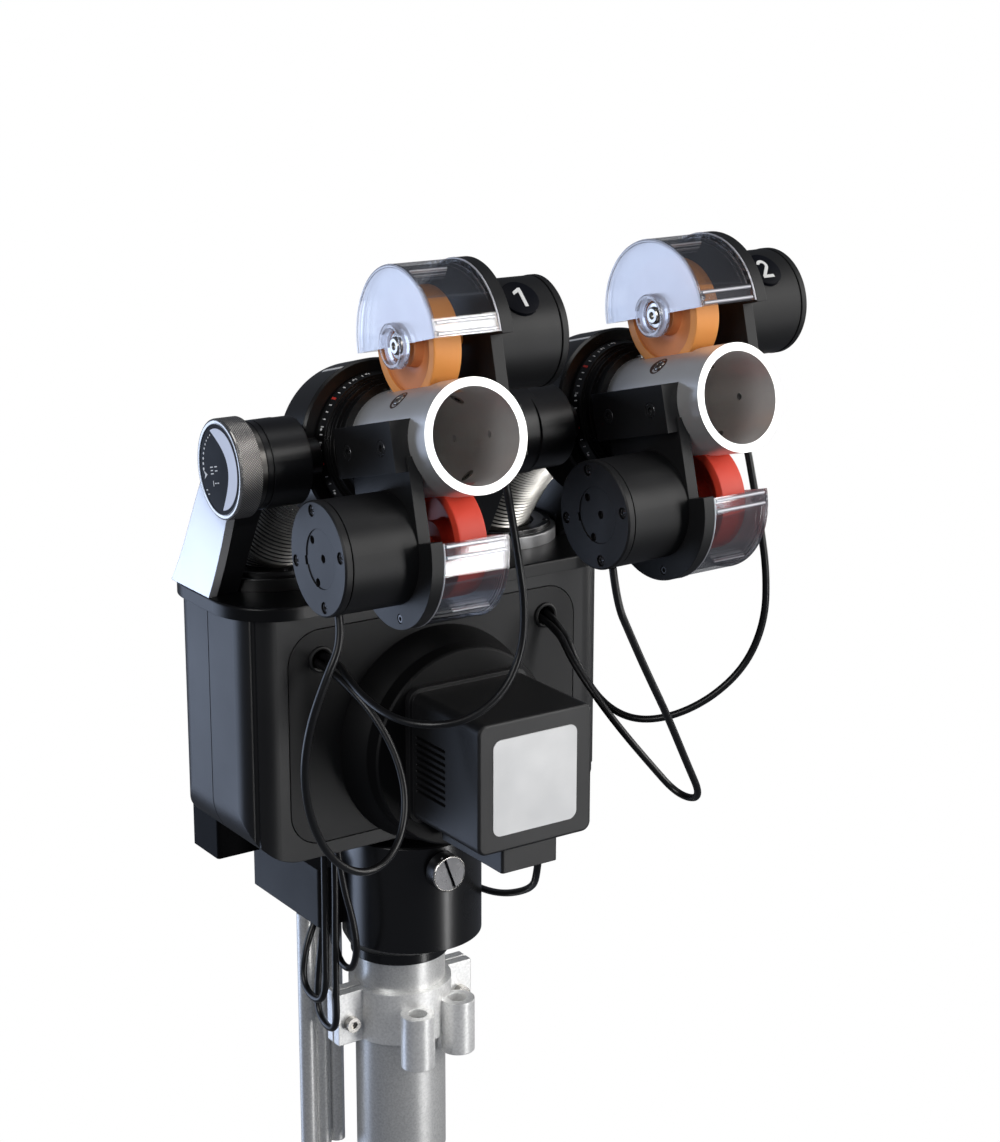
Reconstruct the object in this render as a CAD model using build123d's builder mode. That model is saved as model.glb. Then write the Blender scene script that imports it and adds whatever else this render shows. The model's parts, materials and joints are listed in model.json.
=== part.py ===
# Two-head ball launcher: upper unit on the top section of its stand post.
# Frame: origin on the post axis at the lower end of the post section, +Z up, front towards -Y.
from math import acos, cos, pi, radians, sin, sqrt, tan
import os

from build123d import *

os.makedirs("parts", exist_ok=True)

# ---------------------------------------------------------------- driving dimensions (mm)
BARREL_R, BORE_R = 26.0, 22.0  # every bore on the way passes a 40 mm ball
BARREL_REAR, BARREL_MUZZLE = -19.9, 88.0  # along the barrel from the trunnion axis

TRUNNION_Y, TRUNNION_Z = -104.0, 430.0
HEAD_X = 70.8  # half the distance between the two barrels
TOE = 2.3  # each barrel points this much outwards
PITCH = 14.5  # both barrels point this much upwards

WHEEL_R, WHEEL_W = 26.0, 14.0
AXLE_S, AXLE_H = 47.5, 44.5  # wheel axle: forward of the trunnion axis, off the barrel axis
MOTOR_R, MOTOR_IN, MOTOR_OUT = 25.8, 28.0, 64.5
COVER_R, COVER_WALL, COVER_END = 36.5, 1.6, 12.0
FLANGE_R, PLATE_IN, PLATE_OUT = 37.0, 22.0, 28.0

RING_R, RING_BORE, RING_BACK, RING_FRONT = 42.5, 36.08, -24.0, 2.0
HUB_R, HUB_IN, HUB_OUT = 20.5, 47.0, 66.0
PIN_R, PIN_BORE = 9.0, 9.06
KNOB_R, KNOB_FACE = 22.9, 84.0

CASE_W, CASE_D, CASE_Y, CASE_CORNER = 219.0, 82.0, 2.0, 16.0
CASE_Z0, CASE_Z1, CASE_LOW_R = 202.0, 334.0, 28.0  # CASE_LOW_R: the two lower corners
CASE_FRONT = CASE_Y - CASE_D / 2
SEAM_Y = 4.0
LID_W, LID_D, LID_Y, LID_R, LID_Z1 = 232.0, 98.0, 1.0, 33.0, 341.0
PANEL_W, PANEL_H, PANEL_R, PANEL_Z = 175.0, 114.0, 18.0, 267.0
EXIT_X, EXIT_Y, EXIT_R = 70.0, 12.0, 34.0
HOSE_X, HOSE_R, HOSE_BORE, HOSE_HOLE = 67.0, 22.5, 20.6, 24.5
HOSE_KNEE, HOSE_BACK = 358.0, -79.0  # where the hose leaves the upright, and its upper corner
CABLE_HOLE_X, CABLE_HOLE_Z = 69.0, 308.4

BOSS_Z, BOX_Z = 256.0, 258.0  # axis of the ball rotor, middle of its drive box
BOX, BOX_FRONT, BOX_REAR = 68.0, -130.0, -70.0
BOSS_R, BOSS_SKIRT_R, BOSS_FRONT = 53.0, 58.4, -66.0

POST_R, POST_BORE = 25.0, 21.0
COLLAR_R, COLLAR_Y, COLLAR_Z0, COLLAR_Z1 = 38.0, -13.0, 137.0, 197.0
LOCK_X, LOCK_Z = -5.0, 184.0
CLAMP_Z0, CLAMP_Z1, CLAMP_R = 73.0, 103.0, 28.5
SOCKETS, SOCKET_AT = (-105.7, -55.0), 34.5  # the two rod sockets: direction, distance
CORD_D = 3.8


# ---------------------------------------------------------------- frames
def head_plane(side):
    """Frame of one head: x along its trunnion axis, y up, z forward along the barrel."""
    p, t = radians(PITCH), radians(TOE) * side
    x_dir = (cos(t), sin(t), 0)
    z_dir = (sin(t) * cos(p), -cos(t) * cos(p), sin(p))
    return Plane(origin=(side * HEAD_X, TRUNNION_Y, TRUNNION_Z), x_dir=x_dir, z_dir=z_dir)


def on(head, at, x_dir, z_dir):
    """A plane given in the head's own coordinates."""
    origin = head.from_local_coords(at)
    return Plane(
        origin=origin,
        x_dir=head.from_local_coords(x_dir) - head.origin,
        z_dir=head.from_local_coords(z_dir) - head.origin,
    )


def along_x(head, x, h=0.0, s=0.0):
    """A plane across the trunnion direction: sketch x = forward, sketch y = up."""
    return on(head, (x, h, s), (0, 0, 1), (-1, 0, 0))


HEADS = {1: head_plane(-1), 2: head_plane(1)}


def save(part, name):
    part.label = name
    export_step(part, f"parts/{name}.step")


# ---------------------------------------------------------------- stand side
def make_post():
    with BuildPart() as post:
        with BuildSketch():
            Circle(POST_R)
            Circle(POST_BORE, mode=Mode.SUBTRACT)
        extrude(amount=190)
        chamfer(post.edges().group_by(Axis.Z)[0].sort_by(SortBy.LENGTH)[-1], 0.8)
    save(post.part, "post")


def make_collar():
    with BuildPart() as collar:
        with BuildSketch(Plane.XY.offset(COLLAR_Z0)):
            with Locations((0, COLLAR_Y)):
                Circle(COLLAR_R)
        extrude(amount=COLLAR_Z1 - COLLAR_Z0)
        chamfer(collar.edges().group_by(Axis.Z)[-1], 1.0)
        with BuildSketch(Plane.XY.offset(COLLAR_Z0)):
            with Locations((0, COLLAR_Y)):
                Circle(COLLAR_R)
        with BuildSketch(Plane.XY.offset(126)):
            Circle(28.5)
        loft()
        with BuildSketch(Plane.XY.offset(120)):
            Circle(27)
        extrude(amount=7)
        with BuildSketch(Plane.XY.offset(COLLAR_Z1)):
            Circle(31)
        extrude(amount=4.6)
        with BuildSketch(Plane.XY.offset(COLLAR_Z1)):
            Circle(20)
        extrude(amount=10.5)
        with BuildSketch(Plane.XY.offset(119)):
            Circle(POST_R)
        extrude(amount=71, mode=Mode.SUBTRACT)
        with BuildSketch(Plane.XY.offset(189)):
            Circle(POST_BORE - 5)
        extrude(amount=40, mode=Mode.SUBTRACT)
        with BuildSketch(Plane.XZ.offset(30)):
            with Locations((LOCK_X, LOCK_Z)):
                Circle(4.06)
        extrude(amount=40, mode=Mode.SUBTRACT)
    save(collar.part, "collar")


def make_lock_screw():
    with BuildPart() as lock:
        with BuildSketch(Plane.XZ.offset(31)):
            with Locations((LOCK_X, LOCK_Z)):
                Circle(4.0)
        extrude(amount=22)
        with BuildSketch(Plane.XZ.offset(51.6)):
            with Locations((LOCK_X, LOCK_Z)):
                Circle(10.0)
        extrude(amount=7.4)
        chamfer(lock.edges().group_by(Axis.Y)[0], 0.8)
        with BuildSketch(Plane.XZ.offset(57)):
            with Locations((LOCK_X, LOCK_Z)):
                Rectangle(1.8, 22, rotation=20)
        extrude(amount=4, mode=Mode.SUBTRACT)
    save(lock.part, "lock_screw")


def make_clamp():
    for name, s in (("clamp_front", -1), ("clamp_rear", 1)):
        with BuildPart() as clamp:
            with BuildSketch(Plane.XY.offset(CLAMP_Z0)):
                Circle(CLAMP_R)
                with Locations((0, s * 3.4)):
                    Rectangle(86, 5.2)
                Circle(POST_R, mode=Mode.SUBTRACT)
                with Locations((0, -s * 49.25)):
                    Rectangle(110, 100, mode=Mode.SUBTRACT)
            extrude(amount=CLAMP_Z1 - CLAMP_Z0)
            if s < 0:
                for a in SOCKETS:
                    c, d = cos(radians(a)), sin(radians(a))
                    with BuildSketch(Plane.XY.offset(64)):
                        with Locations((SOCKET_AT * c, SOCKET_AT * d)):
                            Circle(9.3)
                        with Locations((28 * c, 28 * d)):
                            Rectangle(13, 11, rotation=a)
                    extrude(amount=30.5)
                    with BuildSketch(Plane.XY.offset(60)):
                        with Locations((SOCKET_AT * c, SOCKET_AT * d)):
                            Circle(5.2)
                    extrude(amount=40, mode=Mode.SUBTRACT)
                with BuildSketch(Plane.XY.offset(60)):
                    Circle(POST_R)
                extrude(amount=50, mode=Mode.SUBTRACT)
            with BuildSketch(Plane.XZ.offset(-20)):
                with Locations((-35.5, 85), (35.5, 85)):
                    Circle(2.6)
            extrude(amount=40, mode=Mode.SUBTRACT)
        save(clamp.part, name)
    with BuildPart() as screws:
        with BuildSketch(Plane.XZ.offset(6.1)):
            with Locations((-35.5, 85), (35.5, 85)):
                Circle(4.2)
        extrude(amount=4)
        with BuildSketch(Plane.XZ.offset(8)):
            with Locations((-35.5, 85), (35.5, 85)):
                RegularPolygon(2.2, 6)
        extrude(amount=3, mode=Mode.SUBTRACT)
        with BuildSketch(Plane.XZ.offset(-9)):
            with Locations((-35.5, 85), (35.5, 85)):
                Circle(2.4)
        extrude(amount=15.1)
    save(screws.part, "clamp_screws")


def make_feed():
    with BuildPart() as box:
        with BuildSketch(Plane.XY.offset(142)):
            with Locations((-30, 38)):
                Rectangle(40, 74)
        extrude(amount=33.5)
        fillet(box.edges().filter_by(Axis.Z), 2)
        with BuildSketch(Plane.XY.offset(135)):
            with Locations((0, COLLAR_Y)):
                Circle(COLLAR_R)
            Circle(POST_R)
        extrude(amount=50, mode=Mode.SUBTRACT)
    save(box.part, "feed_box")
    with BuildPart() as profile:
        with BuildSketch():
            with Locations((-37, 24)):
                with GridLocations(8.8, 1, 3, 1):
                    Circle(4.7)
                Rectangle(20, 4)
                with GridLocations(8.8, 1, 3, 1):
                    Circle(3.3, mode=Mode.SUBTRACT)
        extrude(amount=142)
    save(profile.part, "fluted_profile")


# ---------------------------------------------------------------- casing
def casing_body(front):
    """Half of the casing shell, split at the seam."""
    with BuildPart() as case:
        with BuildSketch(Plane.XY.offset(CASE_Z0)):
            with Locations((0, CASE_Y)):
                RectangleRounded(CASE_W, CASE_D, CASE_CORNER)
        extrude(amount=CASE_Z1 - CASE_Z0)
        with BuildSketch(Plane.XZ.offset(-60)):
            with Locations((0, CASE_Z0 + 120)):
                RectangleRounded(CASE_W, 240, CASE_LOW_R)
        extrude(amount=140, mode=Mode.INTERSECT)
        with BuildPart(mode=Mode.SUBTRACT):
            with BuildSketch(Plane.XY.offset(CASE_Z0 + 4)):
                with Locations((0, CASE_Y)):
                    RectangleRounded(CASE_W - 9, CASE_D - 9, CASE_CORNER - 4)
            extrude(amount=CASE_Z1 - CASE_Z0)
            with BuildSketch(Plane.XZ.offset(-60)):
                with Locations((0, CASE_Z0 + 124)):
                    RectangleRounded(CASE_W - 9, 240, CASE_LOW_R - 4)
            extrude(amount=140, mode=Mode.INTERSECT)
        # vertical grooves down the two front corners
        g = CASE_CORNER * (1 - cos(radians(45)))
        with BuildSketch(Plane.XY.offset(CASE_Z0 + 7)):
            for sx in (-1, 1):
                with Locations((sx * (CASE_W / 2 - g + 0.5), CASE_FRONT + g - 0.5)):
                    Circle(1.9)
        extrude(amount=CASE_Z1 - CASE_Z0, mode=Mode.SUBTRACT)
        with BuildSketch(Plane.XZ.offset(-CASE_FRONT)):
            with Locations((0, PANEL_Z)):
                RectangleRounded(PANEL_W + 0.9, PANEL_H + 0.9, PANEL_R + 0.4)
        extrude(amount=-2.5, mode=Mode.SUBTRACT)
        with BuildSketch(Plane.XZ.offset(-CASE_FRONT + 5)):
            with Locations((-CABLE_HOLE_X, CABLE_HOLE_Z), (CABLE_HOLE_X, CABLE_HOLE_Z)):
                Circle(5.2)
            with Locations((0, BOSS_Z)):
                Circle(36)
        extrude(amount=-14, mode=Mode.SUBTRACT)
        with BuildSketch(Plane.XY.offset(CASE_Z0 - 1)):
            Circle(20.06)
        extrude(amount=8, mode=Mode.SUBTRACT)
        seam = SEAM_Y if front else SEAM_Y + 0.5
        split(bisect_by=Plane.XZ.offset(-seam), keep=Keep.TOP if front else Keep.BOTTOM)
    return case.part


def make_lid():
    with BuildPart() as lid:
        with BuildSketch(Plane.XY.offset(CASE_Z1)):
            with Locations((0, LID_Y)):
                RectangleRounded(LID_W, LID_D, LID_R)
        extrude(amount=LID_Z1 - CASE_Z1)
        fillet(lid.edges().group_by(Axis.Z)[-1], 1.2)
        with BuildSketch(Plane.XY.offset(CASE_Z1)):
            with Locations((-HOSE_X, EXIT_Y), (HOSE_X, EXIT_Y)):
                Circle(21)
        extrude(amount=10, mode=Mode.SUBTRACT)
    save(lid.part, "lid")


def make_exit_ring(name, side):
    with BuildPart() as ring:
        with BuildSketch(Plane.XY.offset(LID_Z1)):
            with Locations((side * EXIT_X, EXIT_Y)):
                Circle(EXIT_R)
            with Locations((side * HOSE_X, EXIT_Y)):
                Circle(HOSE_HOLE, mode=Mode.SUBTRACT)
        extrude(amount=7)
        fillet(ring.edges().group_by(Axis.Z)[-1], 0.8)
        with BuildSketch(Plane.XY.offset(LID_Z1 + 7)):
            with Locations((side * EXIT_X, EXIT_Y)):
                Circle(EXIT_R - 3)
            with Locations((side * HOSE_X, EXIT_Y)):
                Circle(HOSE_HOLE, mode=Mode.SUBTRACT)
        extrude(amount=2.5)
    save(ring.part, name)


def make_front_panel():
    with BuildPart() as panel:
        with BuildSketch(Plane.XZ.offset(-CASE_FRONT - 2.4)):
            with Locations((0, PANEL_Z)):
                RectangleRounded(PANEL_W, PANEL_H, PANEL_R)
            with Locations((-CABLE_HOLE_X, CABLE_HOLE_Z), (CABLE_HOLE_X, CABLE_HOLE_Z)):
                Circle(5.2, mode=Mode.SUBTRACT)
            with Locations((0, BOSS_Z)):
                Circle(36, mode=Mode.SUBTRACT)
        extrude(amount=2.4)
    save(panel.part, "front_panel")


def make_boss():
    """Round housing on the casing front: concave skirt, then a plain drum."""
    with BuildPart() as boss:
        with BuildSketch(Plane.YZ):
            with BuildLine():
                a = (CASE_FRONT - 0.02, BOSS_Z + BOSS_SKIRT_R)
                b = (-56.0, BOSS_Z + BOSS_R)
                Polyline(
                    b, (BOSS_FRONT + 1, BOSS_Z + BOSS_R), (BOSS_FRONT, BOSS_Z + BOSS_R - 1),
                    (BOSS_FRONT, BOSS_Z + 5.3), (BOSS_FRONT + 3, BOSS_Z + 5.3),
                    (BOSS_FRONT + 3, BOSS_Z + 44), (a[0], BOSS_Z + 44), a,
                )
                ThreePointArc(a, (-51.5, BOSS_Z + BOSS_R + 2.2), b)
            make_face()
        revolve(axis=Axis((0, 0, BOSS_Z), (0, 1, 0)))
    save(boss.part, "boss")


def make_drive_box():
    with BuildPart() as box:
        with BuildSketch(Plane.XZ.offset(-BOX_REAR)):
            with Locations((0, BOX_Z)):
                RectangleRounded(BOX, BOX, 5)
        extrude(amount=BOX_REAR - BOX_FRONT)
        fillet(box.edges().group_by(Axis.Y)[0], 1.6)
        with BuildSketch(Plane.XZ.offset(-BOX_REAR - 1)):
            with Locations((0, BOX_Z)):
                RectangleRounded(BOX - 5, BOX - 5, 3)
        extrude(amount=BOX_REAR - BOX_FRONT - 1.5, mode=Mode.SUBTRACT)
        # vent slots through both sides
        with BuildSketch(Plane.YZ.offset(-BOX / 2 - 1)):
            with Locations((-86.5, 255.9)):
                with GridLocations(1, 3.55, 1, 9):
                    SlotOverall(27, 1.7)
        extrude(amount=BOX + 2, mode=Mode.SUBTRACT)
        # gasket rim against the boss
        with BuildSketch(Plane.XZ.offset(-BOSS_FRONT + 0.1)):
            with Locations((0, BOX_Z)):
                RectangleRounded(BOX + 4, BOX + 4, 7)
                RectangleRounded(BOX - 5, BOX - 5, 3, mode=Mode.SUBTRACT)
        extrude(amount=-BOX_REAR + BOSS_FRONT - 0.1)
    save(box.part, "drive_box")
    with BuildPart() as label:
        with BuildSketch(Plane.XZ.offset(-BOX_FRONT)):
            with Locations((-0.6, BOX_Z)):
                RectangleRounded(50, 50, 4.5)
        extrude(amount=0.5)
    save(label.part, "drive_label")
    with BuildPart() as switch:
        with BuildSketch(Plane.XY.offset(BOX_Z - BOX / 2 - 13.5)):
            with Locations((-0.6, -98)):
                RectangleRounded(33.5, 56, 1.5)
        extrude(amount=13.5)
    save(switch.part, "switch_box")


def make_rear_box():
    with BuildPart() as box:
        with BuildSketch(Plane.XY.offset(176)):
            with Locations((-73.5, 57.5)):
                RectangleRounded(29, 29, 1.5)
        extrude(amount=63.5)
        with BuildSketch(Plane.XZ.offset(-72)):
            with Locations((-73.5, 210)):
                RectangleRounded(20, 30, 2)
        extrude(amount=1.5, mode=Mode.SUBTRACT)
    save(box.part, "rear_box")


def make_rotor():
    """Ball distributor inside the casing, on the shaft of its drive."""
    with BuildPart() as rotor:
        with BuildSketch(Plane.XZ.offset(-24)):
            with Locations((0, BOSS_Z)):
                Circle(48)
                with PolarLocations(48, 6):
                    Circle(20.8, mode=Mode.SUBTRACT)
        extrude(amount=44)
        with BuildSketch(Plane.XZ.offset(19)):
            with Locations((0, BOSS_Z)):
                Circle(5.2)
        extrude(amount=62)
    save(rotor.part, "ball_rotor")


ARM_EDGES = [
    ((-9.0, 341.0), (30.0, 341.0)),
    ((-25.0, 363.5), (10.5, 364.0)),
    ((-41.0, 384.5), (-9.0, 386.5)),
    ((-60.0, 404.0), (-40.0, 419.0)),
    ((-84.0, 413.0), (-76.0, 445.0)),
    ((-101.0, 411.0), (-98.0, 449.0)),
]


def arm_sections(xs, widths):
    """Plane, width and depth of each cross-section from the lid up to the hub."""
    out = []
    for x, w, (f, r) in zip(xs, widths, ARM_EDGES):
        dy, dz = r[0] - f[0], r[1] - f[1]
        n = sqrt(dy * dy + dz * dz)
        middle = (x, (f[0] + r[0]) / 2, (f[1] + r[1]) / 2)
        out.append((Plane(origin=middle, x_dir=(1, 0, 0), z_dir=(0, -dz / n, dy / n)), w, n))
    return out


def make_side_arm(name, cover_name, side):
    head = HEADS[1] if side < 0 else HEADS[2]
    with BuildPart() as arm:
        xs = [side * x for x in (105, 107, 110, 115, 123, 127)]
        for plane, w, n in arm_sections(xs, (12, 12, 12.5, 13, 16, 17)):
            with BuildSketch(plane):
                Rectangle(w, n)
        loft(ruled=True)
        with BuildSketch(Plane.XY.offset(LID_Z1 - 1)):
            with Locations((side * EXIT_X, EXIT_Y)):
                Circle(EXIT_R + 0.4)
        extrude(amount=12, mode=Mode.SUBTRACT)
        with BuildSketch(along_x(head, side * HUB_IN)):
            Circle(HUB_R)
        extrude(amount=-side * (HUB_OUT - HUB_IN))
        with BuildSketch(along_x(head, side * (HUB_IN - 5))):
            Circle(PIN_BORE)
        extrude(amount=-side * 18, mode=Mode.SUBTRACT)
        with BuildSketch(along_x(head, side * HUB_IN)):
            Circle(4.06)
        extrude(amount=-side * 25, mode=Mode.SUBTRACT)
    save(arm.part, name)
    with BuildPart() as cover:
        xs = [side * x for x in (113.6, 116, 120, 126.5)]
        for plane, w, n in arm_sections(xs, (4.6, 4.6, 4.6, 4.6)):
            with BuildSketch(plane):
                Rectangle(w, n + 2)
        loft()
    save(cover.part, cover_name)


def make_centre_arm():
    with BuildPart() as arm:
        with BuildSketch(Plane.YZ.offset(-10)):
            with BuildLine():
                Polyline(
                    (30, 341), (-10, 386), (-40, 420), (-76, 446), (-104, 446), (-110, 425),
                    (-96, 411), (-85, 392), (-74, 372), (-47, 341), close=True,
                )
            make_face()
        extrude(amount=20)
        with BuildSketch(Plane.YZ.offset(-7)):
            with Locations((TRUNNION_Y, TRUNNION_Z)):
                Circle(22)
        extrude(amount=14)
        for i, sx in ((1, 1), (2, -1)):
            with BuildSketch(along_x(HEADS[i], sx * HUB_IN)):
                Circle(HUB_R)
            extrude(amount=-sx * 20)
        for i, sx in ((1, 1), (2, -1)):
            with BuildSketch(along_x(HEADS[i], sx * (HUB_IN - 5))):
                Circle(PIN_BORE)
            extrude(amount=-sx * 18, mode=Mode.SUBTRACT)
    save(arm.part, "arm_centre")


def make_bellows(i):
    side = -1 if i == 1 else 1
    head = HEADS[i]
    start = (side * HOSE_X, EXIT_Y, LID_Z1 + 2)
    knee = (side * HOSE_X, EXIT_Y, HOSE_KNEE)
    corner = head.from_local_coords((0, 0, HOSE_BACK))
    end = head.from_local_coords((0, 0, RING_BACK - 0.15))
    with BuildPart() as bellows:
        with BuildLine() as path:
            FilletPolyline(start, knee, corner, end, radius=[24, 110])
        with BuildSketch(Plane(origin=path.line @ 0, z_dir=path.line % 0)):
            Circle(HOSE_R)
            Circle(HOSE_BORE, mode=Mode.SUBTRACT)
        sweep()
    save(bellows.part, f"bellows_{i}")


# ---------------------------------------------------------------- knobs
def make_knob(i):
    side = -1 if i == 1 else 1
    head = HEADS[i]
    with BuildPart() as knob:
        with BuildSketch(along_x(head, side * (HUB_OUT + 0.3))):
            Circle(20.0)
        extrude(amount=-side * 7)
        with BuildSketch(along_x(head, side * (HUB_OUT + 7))):
            Circle(KNOB_R)
        extrude(amount=-side * (KNOB_FACE - HUB_OUT - 7))
        chamfer(knob.edges().filter_by(GeomType.CIRCLE).sort_by(
            lambda e: side * e.center().X)[-1], 0.9)
        with BuildSketch(along_x(head, side * KNOB_FACE)):
            Circle(20.6)
        extrude(amount=side * 0.8, mode=Mode.SUBTRACT)
        with BuildSketch(along_x(head, side * 60.6)):
            Circle(4.0)
        extrude(amount=-side * 7)
    save(knob.part, f"tilt_knob_{i}")


# ---------------------------------------------------------------- rings and heads
def make_ring(i):
    head = HEADS[i]
    with BuildPart() as ring:
        with BuildSketch(head.offset(RING_BACK)):
            Circle(RING_R)
        extrude(amount=RING_FRONT - RING_BACK)
        chamfer(ring.edges().filter_by(GeomType.CIRCLE), 1.2)
        with BuildSketch(along_x(head, -60)):
            Circle(PIN_R)
        extrude(amount=-120)
        with BuildSketch(head.offset(RING_BACK + 4)):
            Circle(RING_BORE)
        extrude(amount=40, mode=Mode.SUBTRACT)
        with BuildSketch(head.offset(RING_BACK - 1)):
            Circle(20.6)
        extrude(amount=40, mode=Mode.SUBTRACT)
    save(ring.part, f"ring_{i}")


def make_scale_ring(i):
    head = HEADS[i]
    with BuildPart() as scale:
        with BuildSketch(on(head, (0, 0, 0), (1, 0, 0), (0, -1, 0))):
            with BuildLine():
                Polyline(
                    (BARREL_R, BARREL_REAR), (36.0, BARREL_REAR), (36.0, 4.0), (34.2, 8.5),
                    (33.0, 8.5), (33.0, 9.5), (31.8, 9.5), (31.8, 13.0), (29.6, 13.0),
                    (29.6, 18.0), (BARREL_R, 18.0), close=True,
                )
            make_face()
        revolve(axis=Axis(head.origin, head.z_dir))
    save(scale.part, f"scale_ring_{i}")


def make_barrel(i):
    head = HEADS[i]
    with BuildPart() as barrel:
        with BuildSketch(head.offset(BARREL_REAR)):
            Circle(BARREL_R)
            Circle(BORE_R, mode=Mode.SUBTRACT)
        extrude(amount=BARREL_MUZZLE - BARREL_REAR)
        with BuildSketch(on(head, (0, 0, AXLE_S), (1, 0, 0), (0, 1, 0))):
            Rectangle(WHEEL_W + 3, 41)
        extrude(amount=30, both=True, mode=Mode.SUBTRACT)
        with BuildSketch(along_x(head, 0)):
            with Locations((30, 0), (62, 0)):
                Circle(1.7)
        extrude(amount=40, both=True, mode=Mode.SUBTRACT)
        for a in (52, -52, 128, -128):
            z_dir = (cos(radians(a)), sin(radians(a)), 0)
            with BuildSketch(on(head, (0, 0, 52), (0, 0, 1), z_dir)):
                Circle(3.6)
            extrude(amount=40, mode=Mode.SUBTRACT)
    save(barrel.part, f"barrel_{i}")


def make_bracket(i, name, s):
    """Block on the barrel's flank, plate and motor flange; s = +1 upper right, -1 lower left."""
    head = HEADS[i]
    with BuildPart() as bracket:
        with BuildSketch(head.offset(19)):
            with Locations((s * 28.5, 0)):
                Rectangle(11, 23)
        extrude(amount=54)
        with BuildSketch(along_x(head, s * PLATE_IN)):
            with Locations((AXLE_S, s * 30)):
                Rectangle(53, 50)
            with Locations((AXLE_S, s * AXLE_H)):
                Circle(FLANGE_R)
            with Locations((AXLE_S, s * (AXLE_H - 1 - 30))):
                Rectangle(90, 60, mode=Mode.SUBTRACT)
            with Locations((AXLE_S, s * 25.5)):
                Rectangle(53, 41)
            with Locations((AXLE_S, s * AXLE_H)):
                Circle(2.56, mode=Mode.SUBTRACT)
        extrude(amount=-s * (PLATE_OUT - PLATE_IN))
        with BuildSketch(head):
            Circle(BARREL_R)
        extrude(amount=100, mode=Mode.SUBTRACT)
        with BuildSketch(along_x(head, s * 34)):
            with Locations((30, 0), (62, 0)):
                Circle(3.6)
        extrude(amount=s * 2, mode=Mode.SUBTRACT)
        with BuildSketch(along_x(head, s * PLATE_OUT)):
            with Locations((AXLE_S, s * (AXLE_H + 32))):
                Circle(2.2)
        extrude(amount=s * 3, mode=Mode.SUBTRACT)
    save(bracket.part, name)


def make_motor(i, name, s):
    head = HEADS[i]
    axle = (AXLE_S, s * AXLE_H)
    with BuildPart() as motor:
        with BuildSketch(along_x(head, s * MOTOR_IN)):
            with Locations(axle):
                Circle(MOTOR_R)
        extrude(amount=-s * (MOTOR_OUT - MOTOR_IN))
        chamfer(motor.edges().filter_by(GeomType.CIRCLE).sort_by(
            lambda e: head.to_local_coords(e.center()).X * s)[-1], 0.5)
        with BuildSketch(along_x(head, s * 60.2)):
            with Locations(axle):
                Circle(MOTOR_R + 1)
                Circle(MOTOR_R - 0.8, mode=Mode.SUBTRACT)
        extrude(amount=-s * 0.7, mode=Mode.SUBTRACT)
        with BuildSketch(along_x(head, s * MOTOR_OUT)):
            with Locations((AXLE_S - s * 2.5, s * AXLE_H)):
                Circle(13.5)
        extrude(amount=s * 0.5, mode=Mode.SUBTRACT)
        with BuildSketch(along_x(head, s * MOTOR_OUT)):
            with Locations(axle):
                with PolarLocations(21.6, 4):
                    Circle(2.7)
        extrude(amount=s * 1.6, mode=Mode.SUBTRACT)
        with BuildSketch(along_x(head, s * MOTOR_OUT)):
            for ds, dh in ((4.5, 0), (-3.7, 8.8), (-3.5, -10.2)):
                with Locations((AXLE_S - s * ds, s * AXLE_H + dh)):
                    Circle(1.9)
            with Locations((AXLE_S + s * 11.5, s * AXLE_H)):
                Rectangle(1.3, 4)
        extrude(amount=s * 2.5, mode=Mode.SUBTRACT)
    save(motor.part, name)


def make_cover(i, name, s):
    """Clear half-round guard over one wheel, screwed to the motor flange."""
    head = HEADS[i]
    depth = COVER_END + PLATE_IN
    with BuildPart() as cover:
        with BuildSketch(along_x(head, s * PLATE_IN)):
            with Locations((AXLE_S, s * AXLE_H)):
                Circle(COVER_R)
            with Locations((AXLE_S, s * (AXLE_H - 50))):
                Rectangle(100, 100, mode=Mode.SUBTRACT)
        extrude(amount=s * depth)
        with BuildSketch(along_x(head, s * (PLATE_IN + 1))):
            with Locations((AXLE_S, s * AXLE_H)):
                Circle(COVER_R - COVER_WALL)
        extrude(amount=s * (depth + 1 - COVER_WALL), mode=Mode.SUBTRACT)
        with BuildSketch(along_x(head, -s * (COVER_END - COVER_WALL))):
            with Locations((AXLE_S, s * AXLE_H)):
                Circle(10.5)
        extrude(amount=s * COVER_WALL)
        with BuildSketch(along_x(head, -s * (COVER_END - COVER_WALL - 1))):
            with Locations((AXLE_S, s * AXLE_H)):
                Circle(7.2)
        extrude(amount=s * 10, mode=Mode.SUBTRACT)
        # stiffening ribs along the two straight edges
        for d in (-1, 1):
            with BuildSketch(along_x(head, s * PLATE_IN)):
                with Locations((AXLE_S + d * (COVER_R - 1.4), s * (AXLE_H + 1.5))):
                    Rectangle(2.8, 3)
            extrude(amount=s * depth)
    save(cover.part, name)


def make_wheel(i, name, s):
    head = HEADS[i]
    axle = (AXLE_S, s * AXLE_H)
    with BuildPart() as wheel:
        with BuildSketch(along_x(head, -WHEEL_W / 2)):
            with Locations(axle):
                Circle(WHEEL_R)
        extrude(amount=-WHEEL_W)
        fillet(wheel.edges().filter_by(GeomType.CIRCLE), 0.8)
        # shallow dish on the free side, deep hollow towards the motor
        for d, depth in ((-s, 4.2), (s, 7.5)):
            with BuildSketch(along_x(head, d * WHEEL_W / 2)):
                with Locations(axle):
                    Circle(21.5)
                    Circle(9.5, mode=Mode.SUBTRACT)
            extrude(amount=d * depth, mode=Mode.SUBTRACT)
        with BuildSketch(along_x(head, s * 21.9)):
            with Locations(axle):
                Circle(2.5)
        extrude(amount=s * 33)
        with BuildSketch(along_x(head, -s * WHEEL_W / 2)):
            with Locations(axle):
                RegularPolygon(4.6, 6)
        extrude(amount=s * 3.2)
    save(wheel.part, name)


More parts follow.
